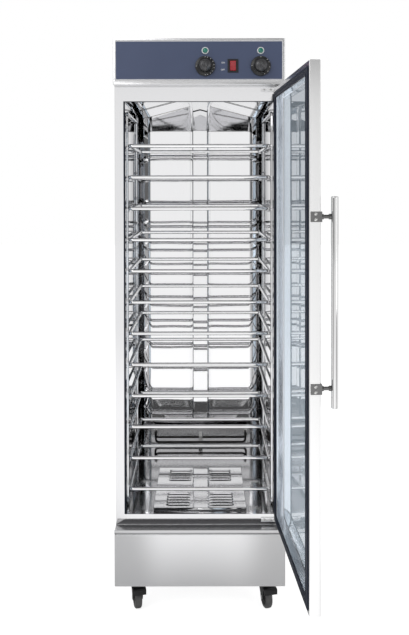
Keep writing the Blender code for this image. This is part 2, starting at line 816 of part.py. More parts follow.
def make_air_heater():
    """Dry element low on the back wall, its ends turned up into the wall, on a middle clip."""
    half = AIR_ELEMENT_WIDTH / 2
    wall = CAVITY_BACK - GAP
    y = CAVITY_BACK - AIR_ELEMENT_STAND
    low = FLOOR_Z + AIR_ELEMENT_HEIGHT
    high = low + AIR_ELEMENT_RISE
    corners = [
        Vector((-half, wall, high)), Vector((-half, y, high)), Vector((-half, y, low)),
        Vector((half, y, low)), Vector((half, y, high)), Vector((half, wall, high)),
    ]
    path = bent(corners, ELEMENT_BEND, False)
    mesh = curve_as_mesh("air_heater", wire_curve("air_heater", path, ELEMENT_DIAMETER))
    heater = add_piece("air_heater", mesh, "dark_element")
    clip = box_cutter("air_heater_clip", (-CLIP_WIDTH / 2, CLIP_WIDTH / 2), (y, wall),
                      (low - ELEMENT_DIAMETER, low - ELEMENT_DIAMETER + CLIP_HEIGHT))
    combine(heater, clip, "UNION")


def tray_heights():
    """Height of the wire centre of each tray support, lowest first."""
    return [LOWEST_TRAY + TRAY_PITCH * level for level in range(TRAY_LEVELS)]


def tray_spans():
    """Outer spans in X and Y of a tray support."""
    front = JAMB_Y + TRAY_FRONT
    return (-TRAY_WIDTH / 2, TRAY_WIDTH / 2), (front, front + TRAY_LENGTH)


def make_tray_supports():
    """Closed wire loops, one for each tray."""
    x, y = (grown(span, -TRAY_WIRE / 2) for span in tray_spans())
    path = rounded_loop(x, y, 0, TRAY_CORNER, WIRE_BEND_STEPS)
    curve = wire_curve("tray_support", path, TRAY_WIRE, closed=True)
    for number, z in enumerate(reversed(tray_heights()), start=1):
        add_piece(f"tray_support_{number:02d}", curve.copy(), "chromed_wire", (0, 0, z))


def make_rack_sides():
    """Wire side frames that stand on the floor, with a peg under each tray support."""
    tray_x, tray_y = tray_spans()
    post_x = tray_x[1] + GAP + POST_WIRE / 2
    front, back = tray_y[0] + POST_SETBACK, tray_y[1] - POST_SETBACK
    low = FLOOR_Z + GAP + POST_WIRE / 2
    high = tray_heights()[-1] + POST_ABOVE_TRAYS
    peg_length = TRAY_WIRE + GAP + POST_WIRE / 2
    for name, side in (("rack_side_left", -1), ("rack_side_right", 1)):
        x = side * post_x
        corners = [Vector((x, y, z)) for y, z in
                   ((front, low), (back, low), (back, high), (front, high))]
        path = bent(corners, POST_CORNER, True)
        mesh = curve_as_mesh(name, wire_curve(name, path, POST_WIRE, closed=True))
        rack = add_piece(name, mesh, "chromed_wire")
        bm = bmesh.new()
        peg_x = x - side * peg_length / 2
        for z in tray_heights():
            peg_z = z - TRAY_WIRE / 2 - GAP - PEG_WIRE / 2
            for y in (front, back):
                place = Vector((peg_x, y, peg_z))
                bmesh.ops.create_cone(
                    bm, cap_ends=True, segments=PEG_SIDES, radius1=PEG_WIRE / 2,
                    radius2=PEG_WIRE / 2, depth=peg_length,
                    matrix=Matrix.Translation(place) @ Matrix.Rotation(math.pi / 2, 4, "Y"),
                )
        combine(rack, add_cutter(f"{name}_pegs", mesh_from(bm, f"{name}_pegs")), "UNION")


def panel_spans():
    """Spans in X and Z of the control panel."""
    half = HALF_WIDTH - PANEL_SIDE
    return (-half, half), (CONTROL_Z + PANEL_BOTTOM, TOP_Z - PANEL_TOP)


def dials():
    """Name and place across the panel of each dial."""
    return (("humidity", HUMIDITY_X), ("temperature", TEMPERATURE_X))


def make_control_housing():
    """Box over the door that holds the controls, open behind for them and below."""
    wall_x, wall_y = (-HALF_WIDTH, HALF_WIDTH), (FRONT_Y, BACK_Y)
    shelf_x = grown(wall_x, -SHELF_FLANGE)
    shelf_y = (JAMB_Y + FRAME_RETURN - 3 * SHEET, BACK_Y - SHELF_FLANGE)
    rows = [
        rounded_loop(shelf_x, shelf_y, CONTROL_Z, BEND_RADIUS),
        rounded_loop(wall_x, wall_y, CONTROL_Z, BEND_RADIUS),
        rounded_loop(wall_x, wall_y, TOP_Z, BEND_RADIUS),
    ]
    mesh = loft("control_housing", rows, cap_end=True)
    housing = add_piece("control_housing", mesh, "brushed_steel")
    give_thickness(housing, SHEET)
    panel_x, panel_z = panel_spans()
    window = box_cutter("panel_window", grown(panel_x, GAP),
                        (FRONT_Y - OVERRUN, FRONT_Y + SHEET + OVERRUN), grown(panel_z, GAP))
    combine(housing, window, "DIFFERENCE")
    length = SHEET + 2 * OVERRUN
    bore = add_cutter("gland_bore", rod_mesh("gland_bore", GLAND_THREAD_RADIUS + GAP, length, "Y"),
                      (GLAND_X, BACK_Y - SHEET / 2, CONTROL_Z + GLAND_HEIGHT))
    combine(housing, bore, "DIFFERENCE")


def make_control_panel():
    """Flat panel flush with the front, bored for dials, lamps and switch."""
    panel_x, panel_z = panel_spans()
    panel = box_piece("control_panel", panel_x, (FRONT_Y, FRONT_Y + PANEL_THICKNESS), panel_z,
                      "slate_blue_panel")
    length = PANEL_THICKNESS + 2 * OVERRUN
    middle = FRONT_Y + PANEL_THICKNESS / 2
    for name, x in dials():
        for what, radius, height in (
            ("neck", CONTROLLER_NECK / 2 + GAP, DIAL_HEIGHT),
            ("lamp", LAMP_BODY_RADIUS + GAP, LAMP_HEIGHT),
        ):
            bore = add_cutter(f"{name}_{what}_hole", rod_mesh(f"{what}_hole", radius, length, "Y"),
                              (x, middle, CONTROL_Z + height))
            combine(panel, bore, "DIFFERENCE")
    half_x = SWITCH_WIDTH / 2 - SWITCH_RIM + GAP
    half_z = SWITCH_LENGTH / 2 - SWITCH_RIM + GAP
    z = CONTROL_Z + SWITCH_HEIGHT
    hole = box_cutter("switch_hole", (SWITCH_X - half_x, SWITCH_X + half_x),
                      (FRONT_Y - OVERRUN, FRONT_Y + PANEL_THICKNESS + OVERRUN),
                      (z - half_z, z + half_z))
    combine(panel, hole, "DIFFERENCE")


def face_front(piece):
    """Turn a piece's own Z axis to the front."""
    piece.rotation_euler = (math.pi / 2, 0, 0)


def make_dials():
    """Knob with its spindle, and the controller behind the panel, for each dial."""
    for name, x in dials():
        z = CONTROL_Z + DIAL_HEIGHT
        profile = [(0, KNOB_DEPTH)]
        profile += [(KNOB_RADIUS * r, KNOB_DEPTH * h) for r, h in KNOB_PROFILE_SHARES]
        profile += [(KNOB_RADIUS, KNOB_CLEAR), (SPINDLE_RADIUS, KNOB_CLEAR),
                    (SPINDLE_RADIUS, -SPINDLE_LENGTH), (0, -SPINDLE_LENGTH)]
        knob = add_piece(f"{name}_knob", turned_mesh(f"{name}_knob", profile), "black_plastic",
                         (x, FRONT_Y, z))
        face_front(knob)
        turn_profile(knob, FINE_SIDES)
        front = FRONT_Y + PANEL_THICKNESS + GAP
        half_x, half_z = CONTROLLER_WIDTH / 2, CONTROLLER_HEIGHT / 2
        body = box_piece(f"{name}_controller", (x - half_x, x + half_x),
                         (front, front + CONTROLLER_DEPTH), (z - half_z, z + half_z), "bakelite")
        neck_length = PANEL_THICKNESS + GAP + SHEET
        neck = add_cutter(f"{name}_neck", rod_mesh("neck", CONTROLLER_NECK / 2, neck_length, "Y"),
                          (x, FRONT_Y + neck_length / 2, z))
        combine(body, neck, "UNION")
        depth = SPINDLE_LENGTH + 2 * OVERRUN
        bore = add_cutter(f"{name}_spindle_bore",
                          rod_mesh("spindle_bore", SPINDLE_RADIUS + GAP, depth, "Y", FINE_SIDES),
                          (x, FRONT_Y + depth / 2 - OVERRUN, z))
        combine(body, bore, "DIFFERENCE")


def make_lamps():
    """Pilot lamp over each dial: a cupped bezel and a domed lens in it."""
    for name, x in dials():
        z = CONTROL_Z + LAMP_HEIGHT
        cup = LENS_RADIUS + GAP
        bezel_profile = [
            (0, LAMP_PROUD - LENS_SEAT), (cup, LAMP_PROUD - LENS_SEAT), (cup, LAMP_PROUD),
            (LAMP_BODY_RADIUS, LAMP_PROUD), (LAMP_RADIUS, LAMP_PROUD / 2), (LAMP_RADIUS, GAP),
            (LAMP_BODY_RADIUS, GAP), (LAMP_BODY_RADIUS, -LAMP_BODY_LENGTH),
            (0, -LAMP_BODY_LENGTH),
        ]
        bezel = add_piece(f"{name}_lamp_bezel", turned_mesh(f"{name}_lamp_bezel", bezel_profile),
                          "white_plastic", (x, FRONT_Y, z))
        seat = LAMP_PROUD - LENS_SEAT + GAP
        lens_profile = [
            (0, LAMP_PROUD + LENS_PROUD), (LENS_RADIUS / 2, LAMP_PROUD + LENS_PROUD * 3 / 4),
            (LENS_RADIUS, LAMP_PROUD), (LENS_RADIUS, seat), (0, seat),
        ]
        lens = add_piece(f"{name}_lamp_lens", turned_mesh(f"{name}_lamp_lens", lens_profile),
                         "green_lens", (x, FRONT_Y, z))
        for piece in (bezel, lens):
            face_front(piece)
            turn_profile(piece, ROUND_SIDES)


def make_switch():
    """Housing of the power switch, with its pocket, and the tilted rocker in it."""
    z = CONTROL_Z + SWITCH_HEIGHT
    half_x, half_z = SWITCH_WIDTH / 2, SWITCH_LENGTH / 2
    front = FRONT_Y - GAP - SWITCH_PROUD
    housing = box_piece("switch_housing", (SWITCH_X - half_x, SWITCH_X + half_x),
                        (front, FRONT_Y - GAP), (z - half_z, z + half_z), "black_plastic")
    inner_x, inner_z = half_x - SWITCH_RIM, half_z - SWITCH_RIM
    body = box_cutter("switch_body", (SWITCH_X - inner_x, SWITCH_X + inner_x),
                      (front + SWITCH_PROUD / 2, front + SWITCH_BODY_DEPTH),
                      (z - inner_z, z + inner_z))
    combine(housing, body, "UNION")
    pocket_x, pocket_z = ROCKER_WIDTH / 2 + GAP, ROCKER_LENGTH / 2 + ROCKER_END_GAP
    pocket = box_cutter("switch_pocket", (SWITCH_X - pocket_x, SWITCH_X + pocket_x),
                        (front - OVERRUN, front + ROCKER_POCKET), (z - pocket_z, z + pocket_z))
    combine(housing, pocket, "DIFFERENCE")
    half = ROCKER_LENGTH / 2
    outline = [
        (0, ROCKER_PROUD - ROCKER_DIP), (-half, ROCKER_PROUD), (-half, -ROCKER_DIP),
        (-half / 2, -ROCKER_ROOT), (half / 2, -ROCKER_ROOT), (half, -ROCKER_DIP),
        (half, ROCKER_PROUD),
    ]
    curve = outline_curve("power_rocker", outline, ROCKER_WIDTH)
    rocker = add_piece("power_rocker", curve, "red_rocker", (SWITCH_X, front, z))
    rocker.rotation_euler = (Matrix.Rotation(ROCKER_TILT, 3, "X")
                             @ Matrix(((0, 0, 1), (0, -1, 0), (1, 0, 0)))).to_euler()


def door_spans():
    """Spans in X and Z of the door, and its inner and outer faces, with the door closed."""
    half = HALF_WIDTH - DOOR_SIDE_GAP
    inner = JAMB_Y - GASKET_CLEAR - GASKET_THICKNESS - GAP
    return ((-half, half), (BASE_HEIGHT + DOOR_BOTTOM_GAP, CONTROL_Z - DOOR_TOP_GAP),
            inner, inner - DOOR_THICKNESS)


def ring_mesh(name, x, z, profile):
    """Frame of one section: inset and depth pairs carried round an upright rectangle."""
    rows = [upright_loop(grown(x, -inset), grown(z, -inset), y) for inset, y in profile]
    return loft(name, rows, ring=True)


def make_door(hinge):
    """Door frame with its glass groove, the gasket and the pane."""
    x, z, inner, outer = door_spans()
    groove_front = outer + GLASS_LIP
    groove_back = groove_front + GLASS_THICKNESS + 2 * GAP
    groove = DOOR_MEMBER - GLASS_REBATE
    profile = [
        (DOOR_CHAMFER, outer), (0, outer + DOOR_CHAMFER), (0, inner - DOOR_CHAMFER),
        (DOOR_CHAMFER, inner), (DOOR_MEMBER, inner), (DOOR_MEMBER, groove_back),
        (groove, groove_back), (groove, groove_front), (DOOR_MEMBER, groove_front),
        (DOOR_MEMBER, outer),
    ]
    frame = hang(add_piece("door_frame", ring_mesh("door_frame", x, z, profile),
                           "brushed_steel"), hinge)
    depth = HINGE_PIN_LENGTH + OVERRUN
    for name, edge, side in (("top", z[1], -1), ("bottom", z[0], 1)):
        bore = add_cutter(
            f"door_pin_bore_{name}",
            rod_mesh("door_pin_bore", HINGE_PIN_RADIUS + GAP, depth + OVERRUN),
            (hinge.location.x, hinge.location.y, edge + side * (depth - OVERRUN) / 2),
        )
        combine(frame, hang(bore, hinge), "DIFFERENCE")

    seat, face = inner + GAP, inner + GAP + GASKET_THICKNESS
    width = DOOR_MEMBER - GASKET_INSET
    bead, groove_y = GASKET_BEAD, face - GASKET_GROOVE
    edge = GASKET_GROOVE / 2
    section = [
        (0, seat), (0, face - edge), (edge, face), (bead, face), (bead + edge, groove_y),
        (width - bead - edge, groove_y), (width - bead, face), (width - edge, face),
        (width, face - edge), (width, seat),
    ]
    profile = [(GASKET_INSET + inset, y) for inset, y in section]
    gasket = ring_mesh("door_gasket", x, z, profile)
    hang(add_piece("door_gasket", gasket, "navy_rubber"), hinge)

    pane = groove + GAP
    glass = box_piece("door_glass", grown(x, -pane),
                      (groove_front + GAP, groove_front + GAP + GLASS_THICKNESS),
                      grown(z, -pane), "tinted_glass")
    hang(glass, hinge)


def make_handle(hinge):
    """Tubular handle at the free edge, on two corner brackets with turned necks."""
    x, z, inner, outer = door_spans()
    handle_x = x[0] + HANDLE_INSET
    handle_y = outer - HANDLE_STANDOFF
    half = HANDLE_LENGTH / 2
    upper = [(HANDLE_RADIUS * r, half - HANDLE_DOME * drop) for r, drop in HANDLE_DOME_SHARES]
    profile = upper + [(radius, -height) for radius, height in reversed(upper)]
    tube = add_piece("handle_tube", turned_mesh("handle_tube", profile), "polished_steel",
                     (handle_x, handle_y, HANDLE_HEIGHT))
    turn_profile(tube, ROUND_SIDES)
    hang(tube, hinge)
    edge_x, face_y = x[0] - GAP, outer - GAP
    foot_x = x[0] + BRACKET_FOOT
    outline = [
        (edge_x - BRACKET_PLATE, face_y - BRACKET_PLATE), (foot_x, face_y - BRACKET_PLATE),
        (foot_x, face_y), (edge_x, face_y), (edge_x, face_y + BRACKET_WRAP),
        (edge_x - BRACKET_PLATE, face_y + BRACKET_WRAP),
    ]
    root = BRACKET_PLATE / 2
    reach = HANDLE_STANDOFF - GAP - HANDLE_RADIUS - GAP
    neck_profile = [
        (0, reach), (POST_COLLAR_RADIUS, reach), (POST_COLLAR_RADIUS, reach - POST_COLLAR),
        (POST_NECK_RADIUS, reach - POST_COLLAR), (POST_NECK_RADIUS, POST_COLLAR + BRACKET_PLATE),
        (POST_COLLAR_RADIUS, POST_COLLAR + BRACKET_PLATE), (POST_COLLAR_RADIUS, root), (0, root),
    ]
    for name, side in (("top", 1), ("bottom", -1)):
        height = HANDLE_HEIGHT + side * (half - BRACKET_INSET)
        node = f"handle_bracket_{name}"
        mesh = curve_as_mesh(node, outline_curve(node, outline, BRACKET_HEIGHT))
        bracket = hang(add_piece(node, mesh, "polished_steel", (0, 0, height)), hinge)
        neck = add_cutter(f"{node}_neck", turned_mesh("handle_neck", neck_profile),
                          (handle_x, face_y, height))
        face_front(neck)
        turn_profile(neck, PLAIN_SIDES)
        combine(bracket, hang(neck, hinge), "UNION")


def make_hinge_brackets(hinge):
    """Plate on the door surround, leg over or under the door, and the pin that it turns on."""
    x, z, inner, outer = door_spans()
    face = JAMB_Y - GAP
    pivot_x, pivot_y = hinge.location.x, hinge.location.y
    eye = arc_points(pivot_x, pivot_y, HINGE_LEG_RADIUS, math.pi, 2 * math.pi, 2 * BEND_STEPS)
    eye[-1] = (HALF_WIDTH - GAP, pivot_y)
    root_y = face - HINGE_PLATE / 2
    outline = eye + [(HALF_WIDTH - GAP, root_y), (pivot_x - HINGE_LEG_RADIUS, root_y)]
    for name, door_edge, side in (("top", z[1], 1), ("bottom", z[0], -1)):
        leg_z = door_edge + side * (GAP + HINGE_LEG / 2)
        plate_z = sorted((leg_z, door_edge - side * HINGE_PLATE_DROP))
        node = f"hinge_bracket_{name}"
        bracket = box_piece(node, (HALF_WIDTH - HINGE_PLATE_WIDTH, HALF_WIDTH),
                            (face - HINGE_PLATE, face), plate_z, "zinc_steel")
        leg = curve_as_mesh(f"{node}_leg", outline_curve("hinge_leg", outline, HINGE_LEG))
        combine(bracket, add_cutter(f"{node}_leg", leg, (0, 0, leg_z)), "UNION")
        pin_length = HINGE_PIN_LENGTH + GAP + HINGE_LEG / 4
        pin_z = door_edge + side * (GAP + HINGE_LEG / 4 - pin_length / 2)
        pin = add_cutter(f"{node}_pin", rod_mesh("hinge_pin", HINGE_PIN_RADIUS, pin_length),
                         (pivot_x, pivot_y, pin_z))
        combine(bracket, pin, "UNION")


def caster_places():
    """Name and place of each caster's kingpin."""
    return [
        (f"{end}_{side}", across * CASTER_X, along * CASTER_Y)
        for end, along in (("front", -1), ("rear", 1))
        for side, across in (("left", -1), ("right", 1))
    ]


def fork_outline():
    """Side outline of the fork in its own Y and Z, from the race down round the axle."""
    top = -PAD_THICKNESS - GAP - RACE_HEIGHT
    axle_z = WHEEL_RADIUS - CASTER_HEIGHT
    ends = arc_points(-CASTER_TRAIL, axle_z, AXLE_BOSS_RADIUS, math.pi, 2 * math.pi, 2 * BEND_STEPS)
    horn = [(-FORK_HORN, top), (-FORK_HORN, top - FORK_HORN_DROP)]
    return [(FORK_HALF_LENGTH, top)] + horn + ends


def make_caster(name, x, y):
    """Swivelling fork with its kingpin, and the wheel with its axle. Returns frame and fork."""
    swivel = add_frame(f"swivel_{name}", (x, y, 0), CASTER_SWIVEL)
    top = -PAD_THICKNESS - GAP
    fork_top = top - RACE_HEIGHT
    half = WHEEL_WIDTH / 2 + FORK_CLEAR
    node = f"caster_fork_{name}"
    width = 2 * (half + FORK_THICKNESS)
    mesh = curve_as_mesh(node, outline_curve(node, fork_outline(), width))
    mesh.transform(SIDEWAYS)
    fork = add_piece(node, mesh, "zinc_steel", parent=swivel)
    low = -CASTER_HEIGHT
    length = 2 * (FORK_HALF_LENGTH + CASTER_TRAIL + AXLE_BOSS_RADIUS)
    slot_top = fork_top - FORK_THICKNESS
    slot = add_cutter(f"{node}_slot", box_mesh("fork_slot", (2 * half, length, slot_top - low)),
                      (0, 0, (slot_top + low) / 2), swivel)
    combine(fork, slot, "DIFFERENCE")
    race_length = RACE_HEIGHT + FORK_THICKNESS / 2
    race = add_cutter(f"{node}_race", rod_mesh("fork_race", RACE_RADIUS, race_length),
                      (0, 0, top - race_length / 2), swivel)
    combine(fork, race, "UNION")
    pin_length = KINGPIN_REACH - top + RACE_HEIGHT / 2
    pin = add_cutter(f"{node}_kingpin", rod_mesh("kingpin", KINGPIN_RADIUS, pin_length),
                     (0, 0, KINGPIN_REACH - pin_length / 2), swivel)
    combine(fork, pin, "UNION")
    axle_length = width + 2 * OVERRUN
    axle_place = (0, -CASTER_TRAIL, WHEEL_RADIUS - CASTER_HEIGHT)
    hole = add_cutter(f"{node}_axle_hole",
                      rod_mesh("axle_hole", AXLE_RADIUS + GAP, axle_length, "X"),
                      axle_place, swivel)
    combine(fork, hole, "DIFFERENCE")

    rim = WHEEL_WIDTH / 2
    axle_end = width / 2 + OVERRUN / 2
    upper = [
        (0, axle_end), (AXLE_RADIUS, axle_end), (AXLE_RADIUS, rim), (HUB_RADIUS, rim),
        (HUB_RADIUS + HUB_DISH, rim - HUB_DISH), (WHEEL_RADIUS - 2 * WHEEL_ROUND, rim - HUB_DISH),
        (WHEEL_RADIUS - WHEEL_ROUND, rim), (WHEEL_RADIUS, rim - WHEEL_ROUND),
    ]
    profile = upper + [(radius, -height) for radius, height in reversed(upper)]
    mesh = turned_mesh(f"caster_wheel_{name}", profile)
    mesh.transform(Matrix.Rotation(math.pi / FINE_SIDES, 4, "Z"))
    wheel = add_piece(f"caster_wheel_{name}", mesh, "grey_tyre", axle_place, swivel)
    wheel.rotation_euler = (0, math.pi / 2, 0)
    turn_profile(wheel, FINE_SIDES)
    return swivel, fork


def make_brake_pedal(name, swivel, fork):
    """Foot pedal of a front caster, on a cross pin through the horns of its fork."""
    node = f"brake_pedal_{name}"
    top = -PAD_THICKNESS - GAP - RACE_HEIGHT
    pivot = Vector((0, PEDAL_PIVOT_BACK - FORK_HORN, top - PEDAL_PIVOT_DROP))
    barrel = WHEEL_WIDTH + 2 * (FORK_CLEAR - GAP)
    rear = -PEDAL_PIVOT_BACK - PEDAL_CLEAR
    high, low = PEDAL_BARREL_RADIUS, PEDAL_BARREL_RADIUS - PEDAL_THICKNESS
    outline = [
        (rear, high), (PEDAL_LIP_THICKNESS - PEDAL_LENGTH, high),
        (-PEDAL_LENGTH, high - PEDAL_LIP_THICKNESS), (-PEDAL_LENGTH, -PEDAL_LIP),
        (PEDAL_LIP_THICKNESS - PEDAL_LENGTH, -PEDAL_LIP),
        (PEDAL_LIP_THICKNESS - PEDAL_LENGTH, low), (rear, low),
    ]
    mesh = curve_as_mesh(node, outline_curve(node, outline, PEDAL_WIDTH))
    mesh.transform(SIDEWAYS)
    pedal = add_piece(node, mesh, "black_plastic", pivot, swivel)
    arm_length = PEDAL_LENGTH / 2
    arm = add_cutter(f"{node}_arm", box_mesh("pedal_arm", (barrel, arm_length, PEDAL_THICKNESS)),
                     pivot + Vector((0, -arm_length / 2, high - PEDAL_THICKNESS / 2)), swivel)
    combine(pedal, arm, "UNION")
    for what, radius, length in (
        ("barrel", PEDAL_BARREL_RADIUS, barrel),
        ("pin", PEDAL_PIN_RADIUS, WHEEL_WIDTH + 2 * (FORK_CLEAR + FORK_THICKNESS + SHEET)),
    ):
        rod = add_cutter(f"{node}_{what}", rod_mesh(f"pedal_{what}", radius, length, "X"),
                         pivot, swivel)
        combine(pedal, rod, "UNION")
    hole = add_cutter(
        f"{node}_hole",
        rod_mesh("pedal_hole", PEDAL_PIN_RADIUS + GAP, barrel + 2 * PEDAL_WIDTH, "X"),
        pivot, swivel,
    )
    combine(fork, hole, "DIFFERENCE")


def make_power_inlet():
    """Cable gland through the rear of the control housing, open for the supply lead."""
    z = CONTROL_Z + GLAND_HEIGHT
    profile = [
        (0, GLAND_LENGTH / 2), (GLAND_BORE_RADIUS, GLAND_LENGTH / 2),
        (GLAND_BORE_RADIUS, GLAND_LENGTH), (GLAND_THREAD_RADIUS, GLAND_LENGTH),
        (GLAND_RADIUS, GLAND_LENGTH - GLAND_NUT), (GLAND_RADIUS, GAP),
        (GLAND_THREAD_RADIUS, GAP), (GLAND_THREAD_RADIUS, -GLAND_TAIL), (0, -GLAND_TAIL),
    ]
    gland = add_piece("power_inlet", turned_mesh("power_inlet", profile), "black_plastic",
                      (GLAND_X, BACK_Y, z))
    gland.rotation_euler = (-math.pi / 2, 0, 0)
    turn_profile(gland, ROUND_SIDES)


def main():
    make_base_housing()
    make_bottom_cover()
    make_side_panels()
    make_rear_panel()
    make_front_frame()
    make_liner_walls()
    make_liner_floor()
    make_liner_ceiling()
    make_insulation()
    make_air_duct()
    make_water_pan()
    make_floor_cover()
    make_steam_heater()
    make_air_heater()
    make_rack_sides()
    make_tray_supports()
    make_control_housing()
    make_control_panel()
    make_dials()
    make_lamps()
    make_switch()
    make_power_inlet()
    hinge = add_frame(
        "door_hinge", (HALF_WIDTH - DOOR_SIDE_GAP - HINGE_INSET, JAMB_Y - HINGE_FORWARD, 0),
        DOOR_OPEN,
    )
    make_door(hinge)
    make_handle(hinge)
    make_hinge_brackets(hinge)
    for name, x, y in caster_places():
        swivel, fork = make_caster(name, x, y)
        if name.startswith("front"):
            make_brake_pedal(name, swivel, fork)


main()
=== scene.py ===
"""Looks of a stainless proofing cabinet: dressed pieces, finishes, studio light and camera.

Metres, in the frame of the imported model. New pieces are surfaces on a grid of two parameters,
or a section carried along a path, worked out as whole arrays.
"""

import json
import math

import bmesh
import bpy
import numpy as np
from mathutils import Matrix, Vector

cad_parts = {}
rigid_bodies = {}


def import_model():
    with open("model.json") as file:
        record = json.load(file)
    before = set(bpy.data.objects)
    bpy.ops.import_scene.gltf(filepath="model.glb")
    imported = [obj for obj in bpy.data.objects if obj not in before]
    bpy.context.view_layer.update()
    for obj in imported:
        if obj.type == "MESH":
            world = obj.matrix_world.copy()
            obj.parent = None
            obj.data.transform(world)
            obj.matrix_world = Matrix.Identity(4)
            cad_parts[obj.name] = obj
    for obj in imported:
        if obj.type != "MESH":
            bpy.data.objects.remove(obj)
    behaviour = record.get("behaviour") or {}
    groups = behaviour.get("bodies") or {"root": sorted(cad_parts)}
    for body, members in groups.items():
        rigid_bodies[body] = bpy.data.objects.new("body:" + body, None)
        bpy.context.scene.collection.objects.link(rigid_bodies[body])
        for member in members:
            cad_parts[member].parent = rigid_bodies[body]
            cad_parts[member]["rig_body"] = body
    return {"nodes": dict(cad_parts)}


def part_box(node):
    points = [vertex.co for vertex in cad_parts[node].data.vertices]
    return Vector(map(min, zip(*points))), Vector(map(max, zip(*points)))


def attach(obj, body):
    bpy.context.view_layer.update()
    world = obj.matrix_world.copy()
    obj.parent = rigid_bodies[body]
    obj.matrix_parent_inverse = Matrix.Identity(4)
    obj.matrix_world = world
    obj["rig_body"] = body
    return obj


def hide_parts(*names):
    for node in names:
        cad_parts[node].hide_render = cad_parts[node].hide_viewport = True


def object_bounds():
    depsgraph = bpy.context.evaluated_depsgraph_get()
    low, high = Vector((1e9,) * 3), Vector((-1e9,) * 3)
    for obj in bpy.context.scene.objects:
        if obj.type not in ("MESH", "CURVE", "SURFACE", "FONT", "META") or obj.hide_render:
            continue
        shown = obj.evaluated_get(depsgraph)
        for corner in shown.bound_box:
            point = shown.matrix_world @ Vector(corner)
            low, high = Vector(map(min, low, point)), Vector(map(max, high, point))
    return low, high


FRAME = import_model()
NODES = FRAME["nodes"]
CAD_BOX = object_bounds()

# Places and turns of the moving bodies at rest
HINGE_PLACE = (0.24, -0.322, 0.0)
HINGE_TURN = math.radians(93.75)
CASTER_TURN = math.radians(14)
CASTERS = {
    "front_left": (-0.194, -0.255), "front_right": (0.194, -0.255),
    "rear_left": (-0.194, 0.255), "rear_right": (0.194, 0.255),
}
TRAYS = [f"tray_support_{number:02d}" for number in range(1, 13)]
FRONT_Y = -0.34
JAMB_Y = -0.3
REAR_Y = 0.34
OPENING_HALF = 0.224
OPENING_Z = (0.196, 1.422)
RIDGE_Z = 1.48
GABLE_SLOPE = 0.058 / 0.224
COVER_TOP = 0.206
# Guard rows and columns this far inside a folded sheet's free edges keep its wide faces flat
GUARD = 0.0006
SHEET_SCREW, BRACKET_SCREW = 0.0036, 0.0034


def grid_quads(rows, columns, wrap_rows=False, wrap_columns=True):
    """Corner numbers of the quads of a grid of points that is counted row by row."""
    row = np.arange(rows if wrap_rows else rows - 1)[:, None]
    column = np.arange(columns if wrap_columns else columns - 1)[None, :]
    here = row * columns + column
    across = row * columns + (column + 1) % columns
    beyond = (row + 1) % rows * columns + (column + 1) % columns
    ahead = (row + 1) % rows * columns + column
    return np.stack(np.broadcast_arrays(here, across, beyond, ahead), axis=-1).reshape(-1, 4)


def surface(points, wrap_rows=False, wrap_columns=True):
    """Points and quads of a grid whose array holds rows, columns and the three coordinates."""
    rows, columns = points.shape[:2]
    return points.reshape(-1, 3), grid_quads(rows, columns, wrap_rows, wrap_columns)


def joined(*surfaces):
    """Several surfaces as one, with the corner numbers of each moved past those before it."""
    starts = np.cumsum([0] + [len(points) for points, quads in surfaces[:-1]])
    points = np.concatenate([points for points, quads in surfaces])
    quads = np.concatenate([quads + start for (_, quads), start in zip(surfaces, starts)])
    return points, quads


def moved(shape, matrix):
    """A surface carried by a matrix: its points times the turn, plus the shift."""
    points, quads = shape
    turn = np.array(matrix)
    return points @ turn[:3, :3].T + turn[:3, 3], quads


def turned(profile, sides=48, flutes=None):
    """Surface of revolution about Z: each point is (r cos t, r sin t, h) for every angle t.

    Flutes scale the radius by a function of the profile's position and the angle.
    """
    profile = np.asarray(profile, float)
    angle = np.linspace(0, 2 * math.pi, sides, endpoint=False)
    radius = np.repeat(profile[:, :1], sides, axis=1)
    if flutes is not None:
        radius = radius * flutes(profile, angle)
    height = np.repeat(profile[:, 1:2], sides, axis=1)
    points = np.stack([radius * np.cos(angle), radius * np.sin(angle), height], axis=-1)
    return surface(points)


def rounded_profile(corners, radius, steps=5):
    """A profile whose inner corners are rounded: each is replaced by the quadratic curve
    (1-s)^2 a + 2 s (1-s) corner + s^2 b between points a radius away along its two sides."""
    corners = np.asarray(corners, float)
    middle, before, after = corners[1:-1], corners[:-2], corners[2:]
    back, ahead = before - middle, after - middle
    back_length = np.linalg.norm(back, axis=1, keepdims=True)
    ahead_length = np.linalg.norm(ahead, axis=1, keepdims=True)
    reach = np.minimum(radius, np.minimum(back_length, ahead_length) * 0.49)
    start = middle + back / back_length * reach
    end = middle + ahead / ahead_length * reach
    share = np.linspace(0, 1, steps + 1)[None, :, None]
    curve = ((1 - share) ** 2 * start[:, None] + 2 * share * (1 - share) * middle[:, None]
             + share ** 2 * end[:, None])
    return np.concatenate([corners[:1], curve.reshape(-1, corners.shape[1]), corners[-1:]])


